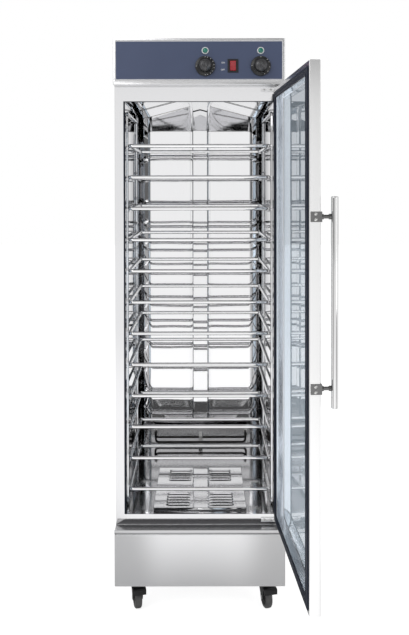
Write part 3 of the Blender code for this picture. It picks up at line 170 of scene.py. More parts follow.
def rounded_path(corners, radius, closed=False, steps=8):
    """A path through corners with a circular arc of the radius at each one: the point at share s
    of a bend is centre + (u sin((1-s)a) + v sin(s a)) / sin a, u and v the spokes to its ends."""
    corners = np.asarray(corners, float)
    if closed:
        before, here, after = np.roll(corners, 1, 0), corners, np.roll(corners, -1, 0)
    else:
        before, here, after = corners[:-2], corners[1:-1], corners[2:]
    back = before - here
    ahead = after - here
    back /= np.linalg.norm(back, axis=1, keepdims=True)
    ahead /= np.linalg.norm(ahead, axis=1, keepdims=True)
    half = np.arccos(np.clip((back * ahead).sum(1), -1, 1))[:, None] / 2
    middle = (back + ahead) / np.linalg.norm(back + ahead, axis=1, keepdims=True)
    centre = here + middle * radius / np.sin(half)
    first = here + back * radius / np.tan(half) - centre
    last = here + ahead * radius / np.tan(half) - centre
    sweep = (math.pi - 2 * half)[:, None]
    share = np.linspace(0, 1, steps + 1)[None, :, None]
    bend = (first[:, None] * np.sin((1 - share) * sweep) + last[:, None] * np.sin(share * sweep))
    bend = centre[:, None] + bend / np.sin(sweep)
    path = bend.reshape(-1, 3)
    return path if closed else np.concatenate([corners[:1], path, corners[-1:]])


def wire(path, radius, closed=False, sides=20):
    """A round wire: at each point of the path, point + r (cos t side + sin t up), where side and
    up are square to the path. An open wire's ends are domed by shrinking the last rings."""
    skew = (0.31, 0.42, 0.85)
    path = np.asarray(path, float)
    if not closed:
        start, end = path[0] - path[1], path[-1] - path[-2]
        start, end = start / np.linalg.norm(start), end / np.linalg.norm(end)
        lift = radius * 0.25
        path = np.concatenate([
            [path[0] + start * lift, path[0] + start * lift * 0.6], path,
            [path[-1] + end * lift * 0.6, path[-1] + end * lift],
        ])
        scale = np.concatenate([[0, 0.75], np.ones(len(path) - 4), [0.75, 0]])
        along = np.gradient(path, axis=0)
    else:
        scale = np.ones(len(path))
        along = np.roll(path, -1, 0) - np.roll(path, 1, 0)
    along /= np.linalg.norm(along, axis=1, keepdims=True)
    side = np.cross(skew, along)
    side /= np.linalg.norm(side, axis=1, keepdims=True)
    up = np.cross(along, side)
    angle = np.linspace(0, 2 * math.pi, sides, endpoint=False)
    ring = (side[:, None] * np.cos(angle)[None, :, None]
            + up[:, None] * np.sin(angle)[None, :, None])
    points = path[:, None] + ring * (radius * scale)[:, None, None]
    return surface(points, wrap_rows=closed)


def mitred_ring(x, z, section):
    """A section of (inset, depth) pairs carried round an upright rectangle with mitred corners:
    corner k of ring i is the rectangle's corner moved inwards by inset i, at depth i."""
    section = np.asarray(section, float)
    centre = np.array([sum(x) / 2, sum(z) / 2])
    half = np.array([(x[1] - x[0]) / 2, (z[1] - z[0]) / 2])
    sign = np.array([(-1, -1), (1, -1), (1, 1), (-1, 1)], float)
    flat = centre + sign[None] * (half[None, None] - section[:, None, :1])
    points = np.stack([
        flat[..., 0], np.repeat(section[:, 1:2], 4, axis=1), flat[..., 1],
    ], axis=-1)
    return surface(points, wrap_rows=True)


def plate(outline, low, high, edge):
    """A plate of an outline in X and Y between two heights, its rims drawn in by the edge:
    rings at the centre, the drawn-in top rim, the two full rims, and down again."""
    outline = np.asarray(outline, float)
    centre = outline.mean(0)
    away = outline - centre
    length = np.linalg.norm(away, axis=1, keepdims=True)
    inner = centre + away * (1 - edge / length)
    rings = [(np.repeat(centre[None], len(outline), 0), high), (inner, high),
             (outline, high - edge), (outline, low + edge), (inner, low),
             (np.repeat(centre[None], len(outline), 0), low)]
    points = np.stack([
        np.concatenate([ring, np.full((len(ring), 1), height)], axis=1) for ring, height in rings
    ])
    return surface(points)


def finished(name, mesh, material, body, replaces=(), smooth=40):
    """Link a mesh as a piece that rides a body and takes its finish from a slot."""
    mesh.materials.clear()
    mesh.materials.append(material)
    mesh.shade_smooth()
    mesh.set_sharp_from_angle(angle=math.radians(smooth))
    piece = bpy.data.objects.new(name, mesh)
    bpy.context.scene.collection.objects.link(piece)
    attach(piece, body)
    if replaces:
        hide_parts(*replaces)
    return piece


def piece_of(name, shape, material, body, replaces=(), smooth=40):
    """A piece from a surface: doubles are merged and faces turned outwards."""
    points, quads = shape
    mesh = bpy.data.meshes.new(name)
    mesh.from_pydata(points.tolist(), [], quads.tolist())
    bm = bmesh.new()
    bm.from_mesh(mesh)
    bmesh.ops.remove_doubles(bm, verts=bm.verts, dist=1e-6)
    bmesh.ops.recalc_face_normals(bm, faces=bm.faces)
    bm.to_mesh(mesh)
    bm.free()
    return finished(name, mesh, material, body, replaces, smooth)


def merged_copy(node):
    """The mesh of a CAD node with its doubles merged and its flat facets joined."""
    bm = bmesh.new()
    bm.from_mesh(NODES[node].data)
    bmesh.ops.remove_doubles(bm, verts=bm.verts, dist=1e-6)
    bmesh.ops.dissolve_limit(bm, angle_limit=math.radians(1), verts=bm.verts, edges=bm.edges)
    mesh = bpy.data.meshes.new(f"{node}_dressed")
    bm.to_mesh(mesh)
    bm.free()
    return mesh


def dressed(node, material, width, angle=30):
    """A merged copy of a CAD node in its own place, its edges rounded to the width."""
    body = NODES[node]["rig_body"]
    piece = finished(f"{node}_dressed", merged_copy(node), material, body, (node,), angle)
    bevel = piece.modifiers.new("rounded_edges", "BEVEL")
    bevel.width = width
    bevel.segments = 3
    bevel.limit_method = "ANGLE"
    bevel.angle_limit = math.radians(angle)
    bevel.harden_normals = True


def thickened(piece, thickness, offset):
    """Gives an open surface the thickness of its sheet: to one side, the other, or both."""
    sheet = piece.modifiers.new("sheet", "SOLIDIFY")
    sheet.thickness = thickness
    sheet.offset = offset


def folded(*rows):
    """An open surface from rows, each made of its x, its y and its z."""
    return surface(np.stack([np.stack(row, axis=-1) for row in rows]), wrap_columns=False)


def new_group(name, *inputs):
    """An empty shader group and its inputs by name; each is made of a name, a kind and a value."""
    group = bpy.data.node_groups.new(name, "ShaderNodeTree")
    for label, kind, value in inputs:
        socket = group.interface.new_socket(name=label, in_out="INPUT",
                                            socket_type=f"NodeSocket{kind}")
        if value is not None:
            socket.default_value = value
    return group, group.nodes.new("NodeGroupInput").outputs


def put_out(group, **outputs):
    """Gives a group its outputs: a kind and what feeds it for each name."""
    for label, (kind, _) in outputs.items():
        group.interface.new_socket(name=label, in_out="OUTPUT", socket_type=f"NodeSocket{kind}")
    end = group.nodes.new("NodeGroupOutput")
    for label, (_, value) in outputs.items():
        feed(group, end.inputs[label], value)
    return group


def feed(tree, socket, value):
    """Links a socket to another node's output, or sets it to a plain value."""
    if isinstance(value, bpy.types.NodeSocket):
        tree.links.new(value, socket)
    else:
        socket.default_value = value


def node_in(tree, kind, properties, *ordered, **named):
    """A shader node with its properties set and its inputs fed, in their order or by name."""
    node = tree.nodes.new(f"ShaderNode{kind}")
    for label, value in properties.items():
        setattr(node, label, value)
    for socket, value in zip(node.inputs, ordered):
        feed(tree, socket, value)
    for label, value in named.items():
        feed(tree, node.inputs[label.replace("_", " ")], value)
    return node


def maths(tree, operation, *inputs, clamp=False):
    """The answer of a Math node."""
    properties = {"operation": operation, "use_clamp": clamp}
    return node_in(tree, "Math", properties, *inputs).outputs[0]


def eased(tree, value, low, high, first, last):
    """A smooth step from a first to a last number while a value goes from low to high."""
    properties = {"interpolation_type": "SMOOTHSTEP"}
    return node_in(tree, "MapRange", properties, value, low, high, first, last).outputs["Result"]


def mixed_colour(tree, share, first, second):
    """A mix of two colours; a Mix node's colours are its inputs 6 and 7 and its output 2."""
    node = node_in(tree, "Mix", {"data_type": "RGBA"}, share)
    feed(tree, node.inputs[6], first)
    feed(tree, node.inputs[7], second)
    return node.outputs[2]


def noise(tree, place, **values):
    """The grey of a noise texture at a place."""
    return node_in(tree, "TexNoise", {}, Vector=place, **values).outputs["Fac"]


def grain_group():
    """Brushed grain: noise drawn out along one axis, as a height, a roughness and a tone. The
    streaks and half the clouds average 0.75, which is taken off to centre them."""
    group, start = new_group(
        "brushed_grain", ("Vector", "Vector", None), ("Stretch", "Vector", (4, 400, 400)),
        ("Roughness", "Float", 0.25), ("Spread", "Float", 0.08),
        ("Colour", "Color", (0.6, 0.6, 0.6, 1)), ("Tone", "Float", 0.06))
    stretched = node_in(group, "VectorMath", {"operation": "MULTIPLY"}, start["Vector"],
                        start["Stretch"]).outputs[0]
    streaks = noise(group, stretched, Scale=1.0, Detail=4.0, Roughness=0.6)
    clouds = noise(group, start["Vector"], Scale=2.3, Detail=2.0)
    centred = maths(group, "SUBTRACT", maths(group, "MULTIPLY_ADD", clouds, 0.5, streaks), 0.75)
    rough = maths(group, "MULTIPLY_ADD", centred, start["Spread"], start["Roughness"], clamp=True)
    tone = maths(group, "MULTIPLY_ADD", centred, start["Tone"], 1.0)
    colour = node_in(group, "VectorMath", {"operation": "SCALE"}, start["Colour"],
                     Scale=tone).outputs[0]
    return put_out(group, Height=("Float", streaks), Roughness=("Float", rough),
                   Colour=("Color", colour))


def mottle_group():
    """Fine unevenness of a moulded, cast or coated surface: a height, a roughness, a colour."""
    group, start = new_group(
        "mottle", ("Vector", "Vector", None), ("Scale", "Float", 400.0),
        ("Roughness", "Float", 0.4), ("Spread", "Float", 0.1),
        ("Colour", "Color", (0.5, 0.5, 0.5, 1)), ("Second Colour", "Color", (0.4, 0.4, 0.4, 1)),
        ("Patch Scale", "Float", 12.0))
    fine = noise(group, start["Vector"], Scale=start["Scale"], Detail=3.0)
    patch = noise(group, start["Vector"], Scale=start["Patch Scale"], Detail=3.0)
    centred = maths(group, "SUBTRACT", patch, 0.5)
    rough = maths(group, "MULTIPLY_ADD", centred, start["Spread"], start["Roughness"], clamp=True)
    share = node_in(group, "MapRange", {}, patch, 0.35, 0.65).outputs["Result"]
    colour = mixed_colour(group, share, start["Colour"], start["Second Colour"])
    return put_out(group, Height=("Float", fine), Roughness=("Float", rough),
                   Colour=("Color", colour))


def ripple_group():
    """Long soft waves of thin sheet metal, as a height."""
    group, start = new_group("sheet_ripple", ("Vector", "Vector", None), ("Scale", "Float", 6.0))
    waves = noise(group, start["Vector"], Scale=start["Scale"], Detail=1.0, Roughness=0.4)
    return put_out(group, Height=("Float", waves))


GRAIN = grain_group()
MOTTLE = mottle_group()
RIPPLE = ripple_group()


def bare_material(name, **sockets):
    """A material, its shader with plain values, and the place in the object's own frame."""
    material = bpy.data.materials.new(name)
    material.use_nodes = True
    tree = material.node_tree
    shader = tree.nodes["Principled BSDF"]
    for label, value in sockets.items():
        shader.inputs[label.replace("_", " ")].default_value = value
    return material, tree, shader, tree.nodes.new("ShaderNodeTexCoord").outputs["Object"]


def placed_group(tree, group, place, **values):
    """The outputs of a shader group set into a material, fed with the place and its values."""
    return node_in(tree, "Group", {"node_tree": group}, Vector=place, **values).outputs


def coated(tree, shader, skin, *bumps):
    """Feeds a skin's colour and roughness into the shader, and a chain of Bump nodes, one for
    each (height, distance)."""
    feed(tree, shader.inputs["Base Color"], skin["Colour"])
    feed(tree, shader.inputs["Roughness"], skin["Roughness"])
    normal = None
    for height, distance in bumps:
        bump = node_in(tree, "Bump", {}, Height=height, Distance=distance, Strength=1.0)
        if normal is not None:
            feed(tree, bump.inputs["Normal"], normal)
        normal = bump.outputs["Normal"]
    if normal is not None:
        feed(tree, shader.inputs["Normal"], normal)


def steel(name, colour, roughness, stretch, spread, tone, grain, ripple, ripple_scale):
    """Stainless sheet: brushed grain over long soft waves."""
    material, tree, shader, place = bare_material(name, Metallic=1.0)
    brushed = placed_group(tree, GRAIN, place, Stretch=stretch, Roughness=roughness,
                           Spread=spread, Colour=(*colour, 1), Tone=tone)
    waves = placed_group(tree, RIPPLE, place, Scale=ripple_scale)
    coated(tree, shader, brushed, (waves["Height"], ripple), (brushed["Height"], grain))
    return material


def moulded(name, colour, second, roughness, spread, scale, patch, depth, **sockets):
    """A moulded, cast or coated surface: fine mottle with slow patches of a second colour."""
    material, tree, shader, place = bare_material(name, **{"Metallic": 0.0, **sockets})
    mottle = placed_group(tree, MOTTLE, place, Scale=scale, Roughness=roughness, Spread=spread,
                          Colour=(*colour, 1), Second_Colour=(*second, 1), Patch_Scale=patch)
    coated(tree, shader, mottle, (mottle["Height"], depth))
    return material


def pane_material():
    """Tinted float glass with faint wipe marks in its gloss."""
    material, tree, shader, place = bare_material(
        "tinted_float_glass", Metallic=0.0, Transmission_Weight=1.0, IOR=1.5)
    coated(tree, shader, placed_group(
        tree, MOTTLE, place, Scale=60.0, Roughness=0.01, Spread=0.03, Patch_Scale=5.0,
        Colour=(0.46, 0.53, 0.59, 1), Second_Colour=(0.44, 0.51, 0.58, 1)))
    return material


# How far the brushed grain is drawn out along each axis
LEVEL, UPRIGHT, EVEN = (5, 5, 900), (900, 900, 5), (90, 90, 90)
# Name, colour, roughness, draw of the grain, spread of the roughness, tone, height of the grain,
# height and scale of the waves
STEEL = {key: steel(*values) for key, values in {
    "outer": ("brushed_outer_steel", (0.8, 0.8, 0.81), 0.26, LEVEL, 0.1, 0.08, 2e-5, 0.0012,
        3.0),
    "base": ("brushed_base_steel", (0.82, 0.82, 0.83), 0.22, LEVEL, 0.05, 0.05, 8e-6, 0.0006, 3.0),
    "lid": ("satin_lid_steel", (0.8, 0.8, 0.81), 0.48, LEVEL, 0.06, 0.05, 1e-5, 0.0006, 3.0),
    # Near-black steel of the sill roll: painted shade where the rolled foot falls in shadow
    "shade": ("painted_shade_sill_steel", (0.13, 0.13, 0.135), 0.12, LEVEL, 0.05, 0.05, 1e-5, 0.0004,
        3.0),
    # Bright trim steel; its blue tint is a painted reflection
    "trim": ("painted_reflection_trim_steel", (0.86, 0.9, 0.95), 0.12, UPRIGHT, 0.04, 0.03, 6e-6, 0.0002, 4.0),
    "clip": ("bright_clip_steel", (0.86, 0.86, 0.87), 0.22, EVEN, 0.08, 0.06, 1e-5, 0.0001, 60.0),
    "side": ("brushed_side_steel", (0.64, 0.64, 0.65), 0.3, (900, 4, 900), 0.1, 0.08, 2e-5,
        0.0012, 3.0),
    "door": ("brushed_door_steel", (0.93, 0.93, 0.93), 0.2, UPRIGHT, 0.08, 0.05, 2e-5, 0.0008,
        3.0),
    "jamb": ("bright_jamb_steel", (0.76, 0.76, 0.77), 0.08, UPRIGHT, 0.06, 0.04, 1e-5, 0.0006,
        4.0),
    "liner": ("polished_liner_steel", (0.84, 0.84, 0.85), 0.03, (700, 700, 6), 0.02, 0.03, 1e-6,
        0.0005, 5.0),
    # Darkened liner floor steel: its low colour is painted shade of the cavity floor
    "floor": ("painted_shade_floor_steel", (0.5, 0.5, 0.51), 0.1, (6, 700, 700), 0.05, 0.04, 4e-6,
        0.0005, 7.0),
    "pan": ("polished_pan_steel", (0.78, 0.78, 0.79), 0.06, (6, 700, 700), 0.03, 0.03, 2e-6,
        0.0004, 9.0),
    "duct": ("polished_duct_steel", (0.82, 0.82, 0.83), 0.03, (700, 700, 6), 0.02, 0.04, 1e-6,
        0.0003, 7.0),
    "wire": ("chromed_wire_steel", (0.93, 0.93, 0.94), 0.04, EVEN, 0.05, 0.03, 4e-6, 5e-5, 40.0),
    "handle": ("polished_handle_steel", (0.82, 0.82, 0.82), 0.1, (900, 900, 8), 0.08, 0.05,
        6e-6, 0.0001, 20.0),
    "bracket": ("cast_bracket_steel", (0.2, 0.2, 0.2), 0.24, EVEN, 0.12, 0.1, 1e-5, 0.0001,
        60.0),
    "screw": ("bright_screw_steel", (0.72, 0.72, 0.71), 0.22, (400, 400, 400), 0.15, 0.1, 1e-5,
        0.0001, 90.0),
}.items()}
PLASTIC = {
    "panel": moulded("slate_blue_film", (0.083, 0.108, 0.195), (0.076, 0.1, 0.183), 0.36, 0.08,
        1500.0, 6.0, 1e-5),
    "black": moulded("black_moulded_plastic", (0.01, 0.01, 0.011), (0.016, 0.016, 0.017), 0.34,
        0.12, 1200.0, 40.0, 2e-5),
    "white": moulded("white_moulded_plastic", (0.93, 0.96, 0.96), (0.9, 0.94, 0.94), 0.28, 0.08,
        1200.0, 60.0, 1e-5),
    "print": moulded("white_print", (0.95, 0.95, 0.96), (0.9, 0.91, 0.93), 0.45, 0.1, 2000.0,
        200.0, 5e-6),
    "gasket": moulded("navy_gasket_rubber", (0.008, 0.013, 0.028), (0.011, 0.017, 0.035), 0.5,
        0.12, 900.0, 14.0, 2e-5, Specular_IOR_Level=0.25),
    "tyre": moulded("grey_tyre_rubber", (0.1, 0.1, 0.102), (0.13, 0.128, 0.125), 0.32, 0.1,
        900.0, 60.0, 5e-5),
    "bakelite": moulded("brown_bakelite", (0.03, 0.022, 0.016), (0.04, 0.028, 0.02), 0.4,
        0.15, 900.0, 50.0, 3e-5),
    "foam": moulded("glass_wool_foam", (0.8, 0.74, 0.52), (0.68, 0.6, 0.38), 0.92, 0.05, 260.0,
        30.0, 0.001),
    "sheath": moulded("scorched_sheath", (0.05, 0.045, 0.042), (0.03, 0.028, 0.03), 0.42,
        0.2, 700.0, 35.0, 3e-5, Metallic=0.8),
    # Near-black seam finish: painted shade in the ceiling seams and in the gap under the base cap
    "seam": moulded("seam_shadow", (0.035, 0.035, 0.037), (0.055, 0.055, 0.058), 0.5, 0.1,
        900.0, 30.0, 1e-5, Metallic=0.6),
    "coated": moulded("black_coated_steel", (0.016, 0.016, 0.017), (0.024, 0.024, 0.025), 0.3,
        0.12, 900.0, 40.0, 2e-5, Coat_Weight=0.3),
    "cap": moulded("satin_knob_cap", (0.115, 0.115, 0.12), (0.085, 0.085, 0.09), 0.3, 0.12,
        1500.0, 160.0, 1e-5, Metallic=0.7),
}
GLASS = pane_material()
LENS = moulded("green_lamp_lens", (0.003, 0.19, 0.14), (0.01, 0.26, 0.19), 0.12, 0.06,
        500.0, 90.0, 3e-5, Coat_Weight=0.6)
ROCKER = moulded("red_rocker_plastic", (0.52, 0.006, 0.02), (0.38, 0.004, 0.014), 0.2, 0.08,
        900.0, 70.0, 1e-5, Coat_Weight=0.5)


def set_material(node, material):
    """The finish of a CAD node that stays."""
    NODES[node].data.materials.clear()
    NODES[node].data.materials.append(material)


def make_casing():
    """Housings, panels and the door surround with their edges rounded, the sheet over the top,
    and the screws of the top, the rear and the underside."""
    dressed("base_housing", STEEL["base"], 0.001)
    dressed("control_housing", STEEL["outer"], 0.0008)
    dressed("front_frame", STEEL["jamb"], 0.0004)
    dressed("bottom_cover", STEEL["outer"], 0.0003)
    for node in ("side_panel_left", "side_panel_right", "rear_panel"):
        dressed(node, STEEL["side"], 0.0004)
    set_material("insulation_jacket", PLASTIC["foam"])
    low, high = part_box("control_housing")
    inset, corner, edge, top = 0.004, 0.003, 0.01, high[2] + 0.0006
    x, y = high[0] - inset, (low[1] + inset, high[1] - inset)
    lid = rounded_path([(-x, y[0], 0), (x, y[0], 0), (x, y[1], 0), (-x, y[1], 0)], corner,
                       closed=True, steps=4)[:, :2]
    piece_of("top_sheet", plate(lid, high[2] - 0.0002, top, 0.0004), STEEL["lid"],
             "cabinet")
    for name, normal, places in (
        ("top_screws", (0, 0, 1), [(side * (x - edge), place, top) for side in (-1, 1)
                                   for place in (y[0] + edge, 0.0, y[1] - edge)]),
        ("rear_screws", (0, 1, 0), [(side * 0.241, REAR_Y, z) for side in (-1, 1)
                                    for z in (0.185, 0.5, 0.816, 1.132, 1.447)]),
        ("bottom_screws", (0, 0, -1), [(side * 0.13, y, 0.0) for side in (-1, 1)
                                       for y in (-0.27, 0.0, 0.27)]),
    ):
        make_screws(name, places, normal, SHEET_SCREW, "cabinet")


def strip(places):
    """A closed section carried along a line of places: every place gives each point of the
    section its own position, and both ends are closed by drawing the last ring in to its
    middle."""
    rings = [np.asarray(place, float) for place in places]
    rings = [np.broadcast_to(rings[0].mean(0), rings[0].shape), *rings,
             np.broadcast_to(rings[-1].mean(0), rings[-1].shape)]
    return surface(np.stack(rings, axis=1), wrap_rows=True, wrap_columns=False)


def across(section, ends):
    """The rings of a section of (y, z) pairs at two ends in X, each a number or one number for
    each point of the section."""
    section = np.asarray(section, float)
    return [np.column_stack([np.broadcast_to(end, len(section)), section]) for end in ends]


def make_front_trim():
    """The rolled foot of the sill, mitred at both ends and dark with painted shade, the folded cap
    of the base with the gap under it, dark with painted shade, and the dark seal round the
    opening: down the jambs and under the header, each point of its section (inset, depth) drawn in
    from the opening's edge."""
    roll = rounded_profile([(-0.2996, 0.181), (-0.2999, 0.1815), (-0.30035, 0.1808),
                            (-0.30035, 0.1672), (-0.2999, 0.1662), (-0.2996, 0.1667),
                            (-0.2996, 0.181)], 0.0002, 2)[:-1]
    slant = 0.2225 + (0.1815 - roll[:, 1]) * 1.75
    cap = rounded_profile([(-0.3364, 0.164), (-0.3364, 0.1653), (-0.3404, 0.1653),
                           (-0.3404, 0.1562), (-0.3392, 0.1562), (-0.3392, 0.164),
                           (-0.3364, 0.164)], 0.0008, 3)[:-1]
    gap = rounded_profile([(-0.3392, 0.156), (-0.34012, 0.1558), (-0.34012, 0.1538),
                           (-0.3392, 0.1536), (-0.3392, 0.156)], 0.0001, 2)[:-1]
    for name, section, half, material, slot in (
        ("sill_roll", roll, slant, STEEL["shade"], "polished_steel"),
        ("base_cap", cap, 0.2502, STEEL["side"], "brushed_steel"),
        ("base_gap", gap, 0.2498, PLASTIC["seam"], "brushed_steel"),
    ):
        half = np.asarray(half)
        piece_of(name, strip(across(section, (-half, half))), material, "cabinet")
    seal = rounded_profile([(-0.0002, -0.2988), (0.8, -0.2988), (1.0, -0.297), (1.0, -0.29),
                            (-0.0002, -0.288), (-0.0002, -0.2988)], 0.0003, 2)[:-1]
    inset, depth = seal.T
    x, top = OPENING_HALF - 0.0038 * inset, OPENING_Z[1] - 0.0012 * inset
    foot = np.full_like(x, OPENING_Z[0])
    arch = [np.column_stack(ring) for ring in
            ((-x, depth, foot), (-x, depth, top), (x, depth, top), (x, depth, foot))]
    piece_of("opening_seal", strip(arch), PLASTIC["gasket"], "cabinet")


def make_cavity():
    """Finishes of the folded sheets inside."""
    for node, finish in (("liner_walls", "liner"), ("liner_ceiling", "duct"),
                         ("liner_floor", "floor"), ("water_pan", "pan")):
        dressed(node, STEEL[finish], 0.0003, angle=24)
    make_duct()


def make_duct():
    """Air duct: a channel with two feet is carried up the back wall and, past a mitre, on under
    the ridge. A point of the section stands off the wall, or hangs under the gable, by its
    share of the depth: z = ridge - slope |x| - gap - share of the drop."""
    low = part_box("air_duct")[0]
    half, foot, bend = 0.0275, 0.0373, 0.0022
    wall_y, depth, gap, drop = 0.3047, 0.0187, 0.0016, 0.024
    corner = np.linspace(0, math.pi / 2, 7)
    rise = bend / depth
    left = np.concatenate([
        [(-foot, 0.0), (-foot + GUARD, 0.0), (-half - 0.0016, 0.0), (-half - 0.0004, 0.02),
         (-half, 0.09)],
        np.stack([-half + bend * (1 - np.cos(corner)), 1 - rise * (1 - np.sin(corner))], axis=-1),
        [(-half + bend + GUARD, 1.0), (-GUARD, 1.0)],
    ])
    x, share = np.concatenate([left, left[::-1] * (-1, 1)]).T
    roof = RIDGE_Z - GABLE_SLOPE * np.abs(x) - gap - (drop - gap) * share
    stand = wall_y - depth * share
    level, forward = np.full_like(x, low[2]), np.full_like(x, low[1])
    shape = folded(
        (x, stand, level), (x, stand, level + GUARD), (x, stand, roof - GUARD), (x, stand, roof),
        (x, stand - GUARD, roof), (x, forward + GUARD, roof), (x, forward, roof))
    thickened(piece_of("air_duct_channel", shape, STEEL["duct"], "cabinet",
                       ("air_duct",), 24), 0.0009, 1)


def make_seams():
    """Folded seams across the gable: a strip under the ceiling, z = ridge - slope |x| - a hair,
    on each side of the duct, and one over the duct's crease at its drop. Their near-black finish
    is painted shade."""
    half, strip_y, crease_y, hang, drop = 0.0012, 0.035, 0.2856, 0.0021, 0.024
    shapes = []
    for x in (np.array([-0.222, -0.0385]), np.array([0.0385, 0.222])):
        z = RIDGE_Z - GABLE_SLOPE * np.abs(x) - hang
        shapes.append(folded(*(
            (x, np.full_like(x, strip_y + side * half), z + lift)
            for side, lift in ((-1, 0.0013), (-0.6, 0.0), (0.6, 0.0), (1, 0.0013)))))
    x = np.array([-0.0266, 0.0, 0.0266])
    z = RIDGE_Z - GABLE_SLOPE * np.abs(x) - drop
    crease = np.full_like(x, crease_y)
    shapes.append(folded((x, np.full_like(x, 0.283), z - 0.0003), (x, crease, z - 0.0005),
                         (x, crease, z - 0.0024)))
    thickened(piece_of("ceiling_seams", joined(*shapes), PLASTIC["seam"], "cabinet"), 0.0003, 0)


def louvre_cover():
    """The cover over the water pan as one sheet: its height is flat, plus for each louvre a hood
    that rises straight up at its mouth, stays nearly level and drops behind, tapered at both
    ends. The mouth is a pair of rows at one depth, and the quads between them are left out where
    it is open."""
    low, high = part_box("floor_cover")
    centre_x, half_width, run, throat, pitch = 0.0655, 0.037, 0.014, 0.0023, 0.02
    plain_x = [low[0], low[0] + GUARD, -0.104, 0.104, high[0] - GUARD, high[0]]
    share = np.concatenate([[-1.02], np.linspace(-1, 1, 25), [1.02]])
    hood_x = np.concatenate([side * centre_x + share * half_width for side in (-1, 1)])
    x = np.unique(np.round(np.concatenate([plain_x, hood_x]), 6))
    ease = np.linspace(0, 1, 9)
    rows = [(low[1], 0.0), (low[1] + GUARD, 0.0)]
    for mouth in np.concatenate([
        low[1] + start + np.arange(5) * pitch - run / 2 for start in (0.024, 0.22)
    ]):
        rows += [(mouth - GUARD, 0.0), (mouth, 0.0),
                 *zip(mouth + ease * run * 0.84, 1 - 0.06 * ease),
                 (mouth + run * 0.92, 0.35), (mouth + run, 0.0), (mouth + run + GUARD, 0.0)]
    y, rise = np.array(rows + [(high[1] - GUARD, 0.0), (high[1], 0.0)]).T
    away = np.abs(np.abs(x) - centre_x) / half_width
    hood = throat * np.clip((1 - np.clip(away, 0, 1) ** 6), 0, 1) ** 0.7
    points, quads = surface(np.stack([
        np.repeat(x[None], len(y), 0), np.repeat(y[:, None], len(x), 1),
        COVER_TOP + rise[:, None] * hood[None],
    ], axis=-1), wrap_columns=False)
    open_mouth = np.ptp(points[quads][..., 1], axis=1) < 1e-7
    return points, quads[~open_mouth]


def make_floor_pieces():
    """Louvred cover with its folded skirt, and the two tubular heaters with strap and bushings."""
    low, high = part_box("floor_cover")
    corners = [(low[0], low[1]), (high[0], low[1]), (high[0], high[1]), (low[0], high[1])]
    skirt = np.array([[(x, y, z) for x, y in corners] for z in (COVER_TOP, low[2])])
    thickened(piece_of("floor_cover_pressed", joined(louvre_cover(), surface(skirt)),
                       STEEL["pan"], "cabinet", ("floor_cover",), 30),
              0.0008, -1)
    tube, bend, loop = 0.004, 0.012, 0.15
    low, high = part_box("steam_heater")
    z, outer, inner = (low[2] + high[2]) / 2, 0.075, 0.025
    start, end = high[1], low[1] + tube
    path = rounded_path([
        (-outer, start, z), (-outer, end, z), (-inner, end, z), (-inner, end + loop, z),
        (inner, end + loop, z), (inner, end, z), (outer, end, z), (outer, start, z),
    ], bend)
    piece_of("steam_heater_tube", wire(path, tube), PLASTIC["sheath"], "cabinet",
             ("steam_heater",))
    low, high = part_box("air_heater")
    x, y, z = high[0] - tube, low[1] + tube, 0.217
    top = z + 0.033
    path = rounded_path([(-x, high[1], top), (-x, y, top), (-x, y, z), (x, y, z), (x, y, top),
                         (x, high[1], top)], bend)
    piece_of("air_heater_tube", wire(path, tube), PLASTIC["sheath"], "cabinet",
             ("air_heater",))
    strap = rounded_profile([(0.0, 0.0), (0.007, 0.0), (0.007, 0.03), (-0.007, 0.03),
                             (-0.007, 0.0), (0.0, 0.0)], 0.003)[:-1]
    turn = Matrix(((1, 0, 0, 0), (0, 0, 1, y), (0, 1, 0, 0.209), (0, 0, 0, 1)))
    piece_of("air_heater_strap", moved(plate(strap, 0, high[1] - y, 0.0005), turn),
             STEEL["screw"], "cabinet")
    nut = rounded_profile([(0, 0.006), (0.0075, 0.006), (0.0085, 0.005), (0.0085, 0.0), (0, 0.0)],
                          0.0004)
    for side, name in ((-1, "left"), (1, "right")):
        place = facing_front(side * x, top, high[1])
        piece_of(f"heater_bushing_{name}", moved(turned(nut, 6), place), STEEL["screw"],
                 "cabinet")


def make_rack():
    """Wire tray supports, and the pegged side frames that carry them."""
    cad_wire, drawn_wire, side_wire, peg = 0.005, 0.0058, 0.004, 0.0025
    peg_reach, clearance = 0.0143, 0.0003
    heights = []
    for node in TRAYS:
        low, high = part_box(node)
        z = (low[2] + high[2]) / 2
        heights.append(z)
        x, y = high[0] - cad_wire, (low[1] + cad_wire, high[1] - cad_wire)
        path = rounded_path([(-x, y[0], z), (x, y[0], z), (x, y[1], z), (-x, y[1], z)],
                            0.009, closed=True)
        piece_of(f"{node}_wire", wire(path, drawn_wire, closed=True), STEEL["wire"], "cabinet",
                 (node,))
    for node, side in (("rack_side_left", -1), ("rack_side_right", 1)):
        low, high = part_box(node)
        x = side * (max(abs(low[0]), abs(high[0])) - side_wire)
        y, z = ((low[axis] + side_wire, high[axis] - side_wire) for axis in (1, 2))
        path = rounded_path([(x, y[0], z[0]), (x, y[1], z[0]), (x, y[1], z[1]), (x, y[0], z[1])],
                            0.014, closed=True)
        end = x - side * peg_reach
        shapes = [wire(path, side_wire, closed=True)]
        for peg_z in (height - cad_wire - clearance - peg for height in heights):
            shapes += [wire([(x, peg_y, peg_z), (end, peg_y, peg_z)], 0.0024, sides=14)
                       for peg_y in y]
        piece_of(f"{node}_wire", joined(*shapes), STEEL["wire"], "cabinet",
                 (node,))


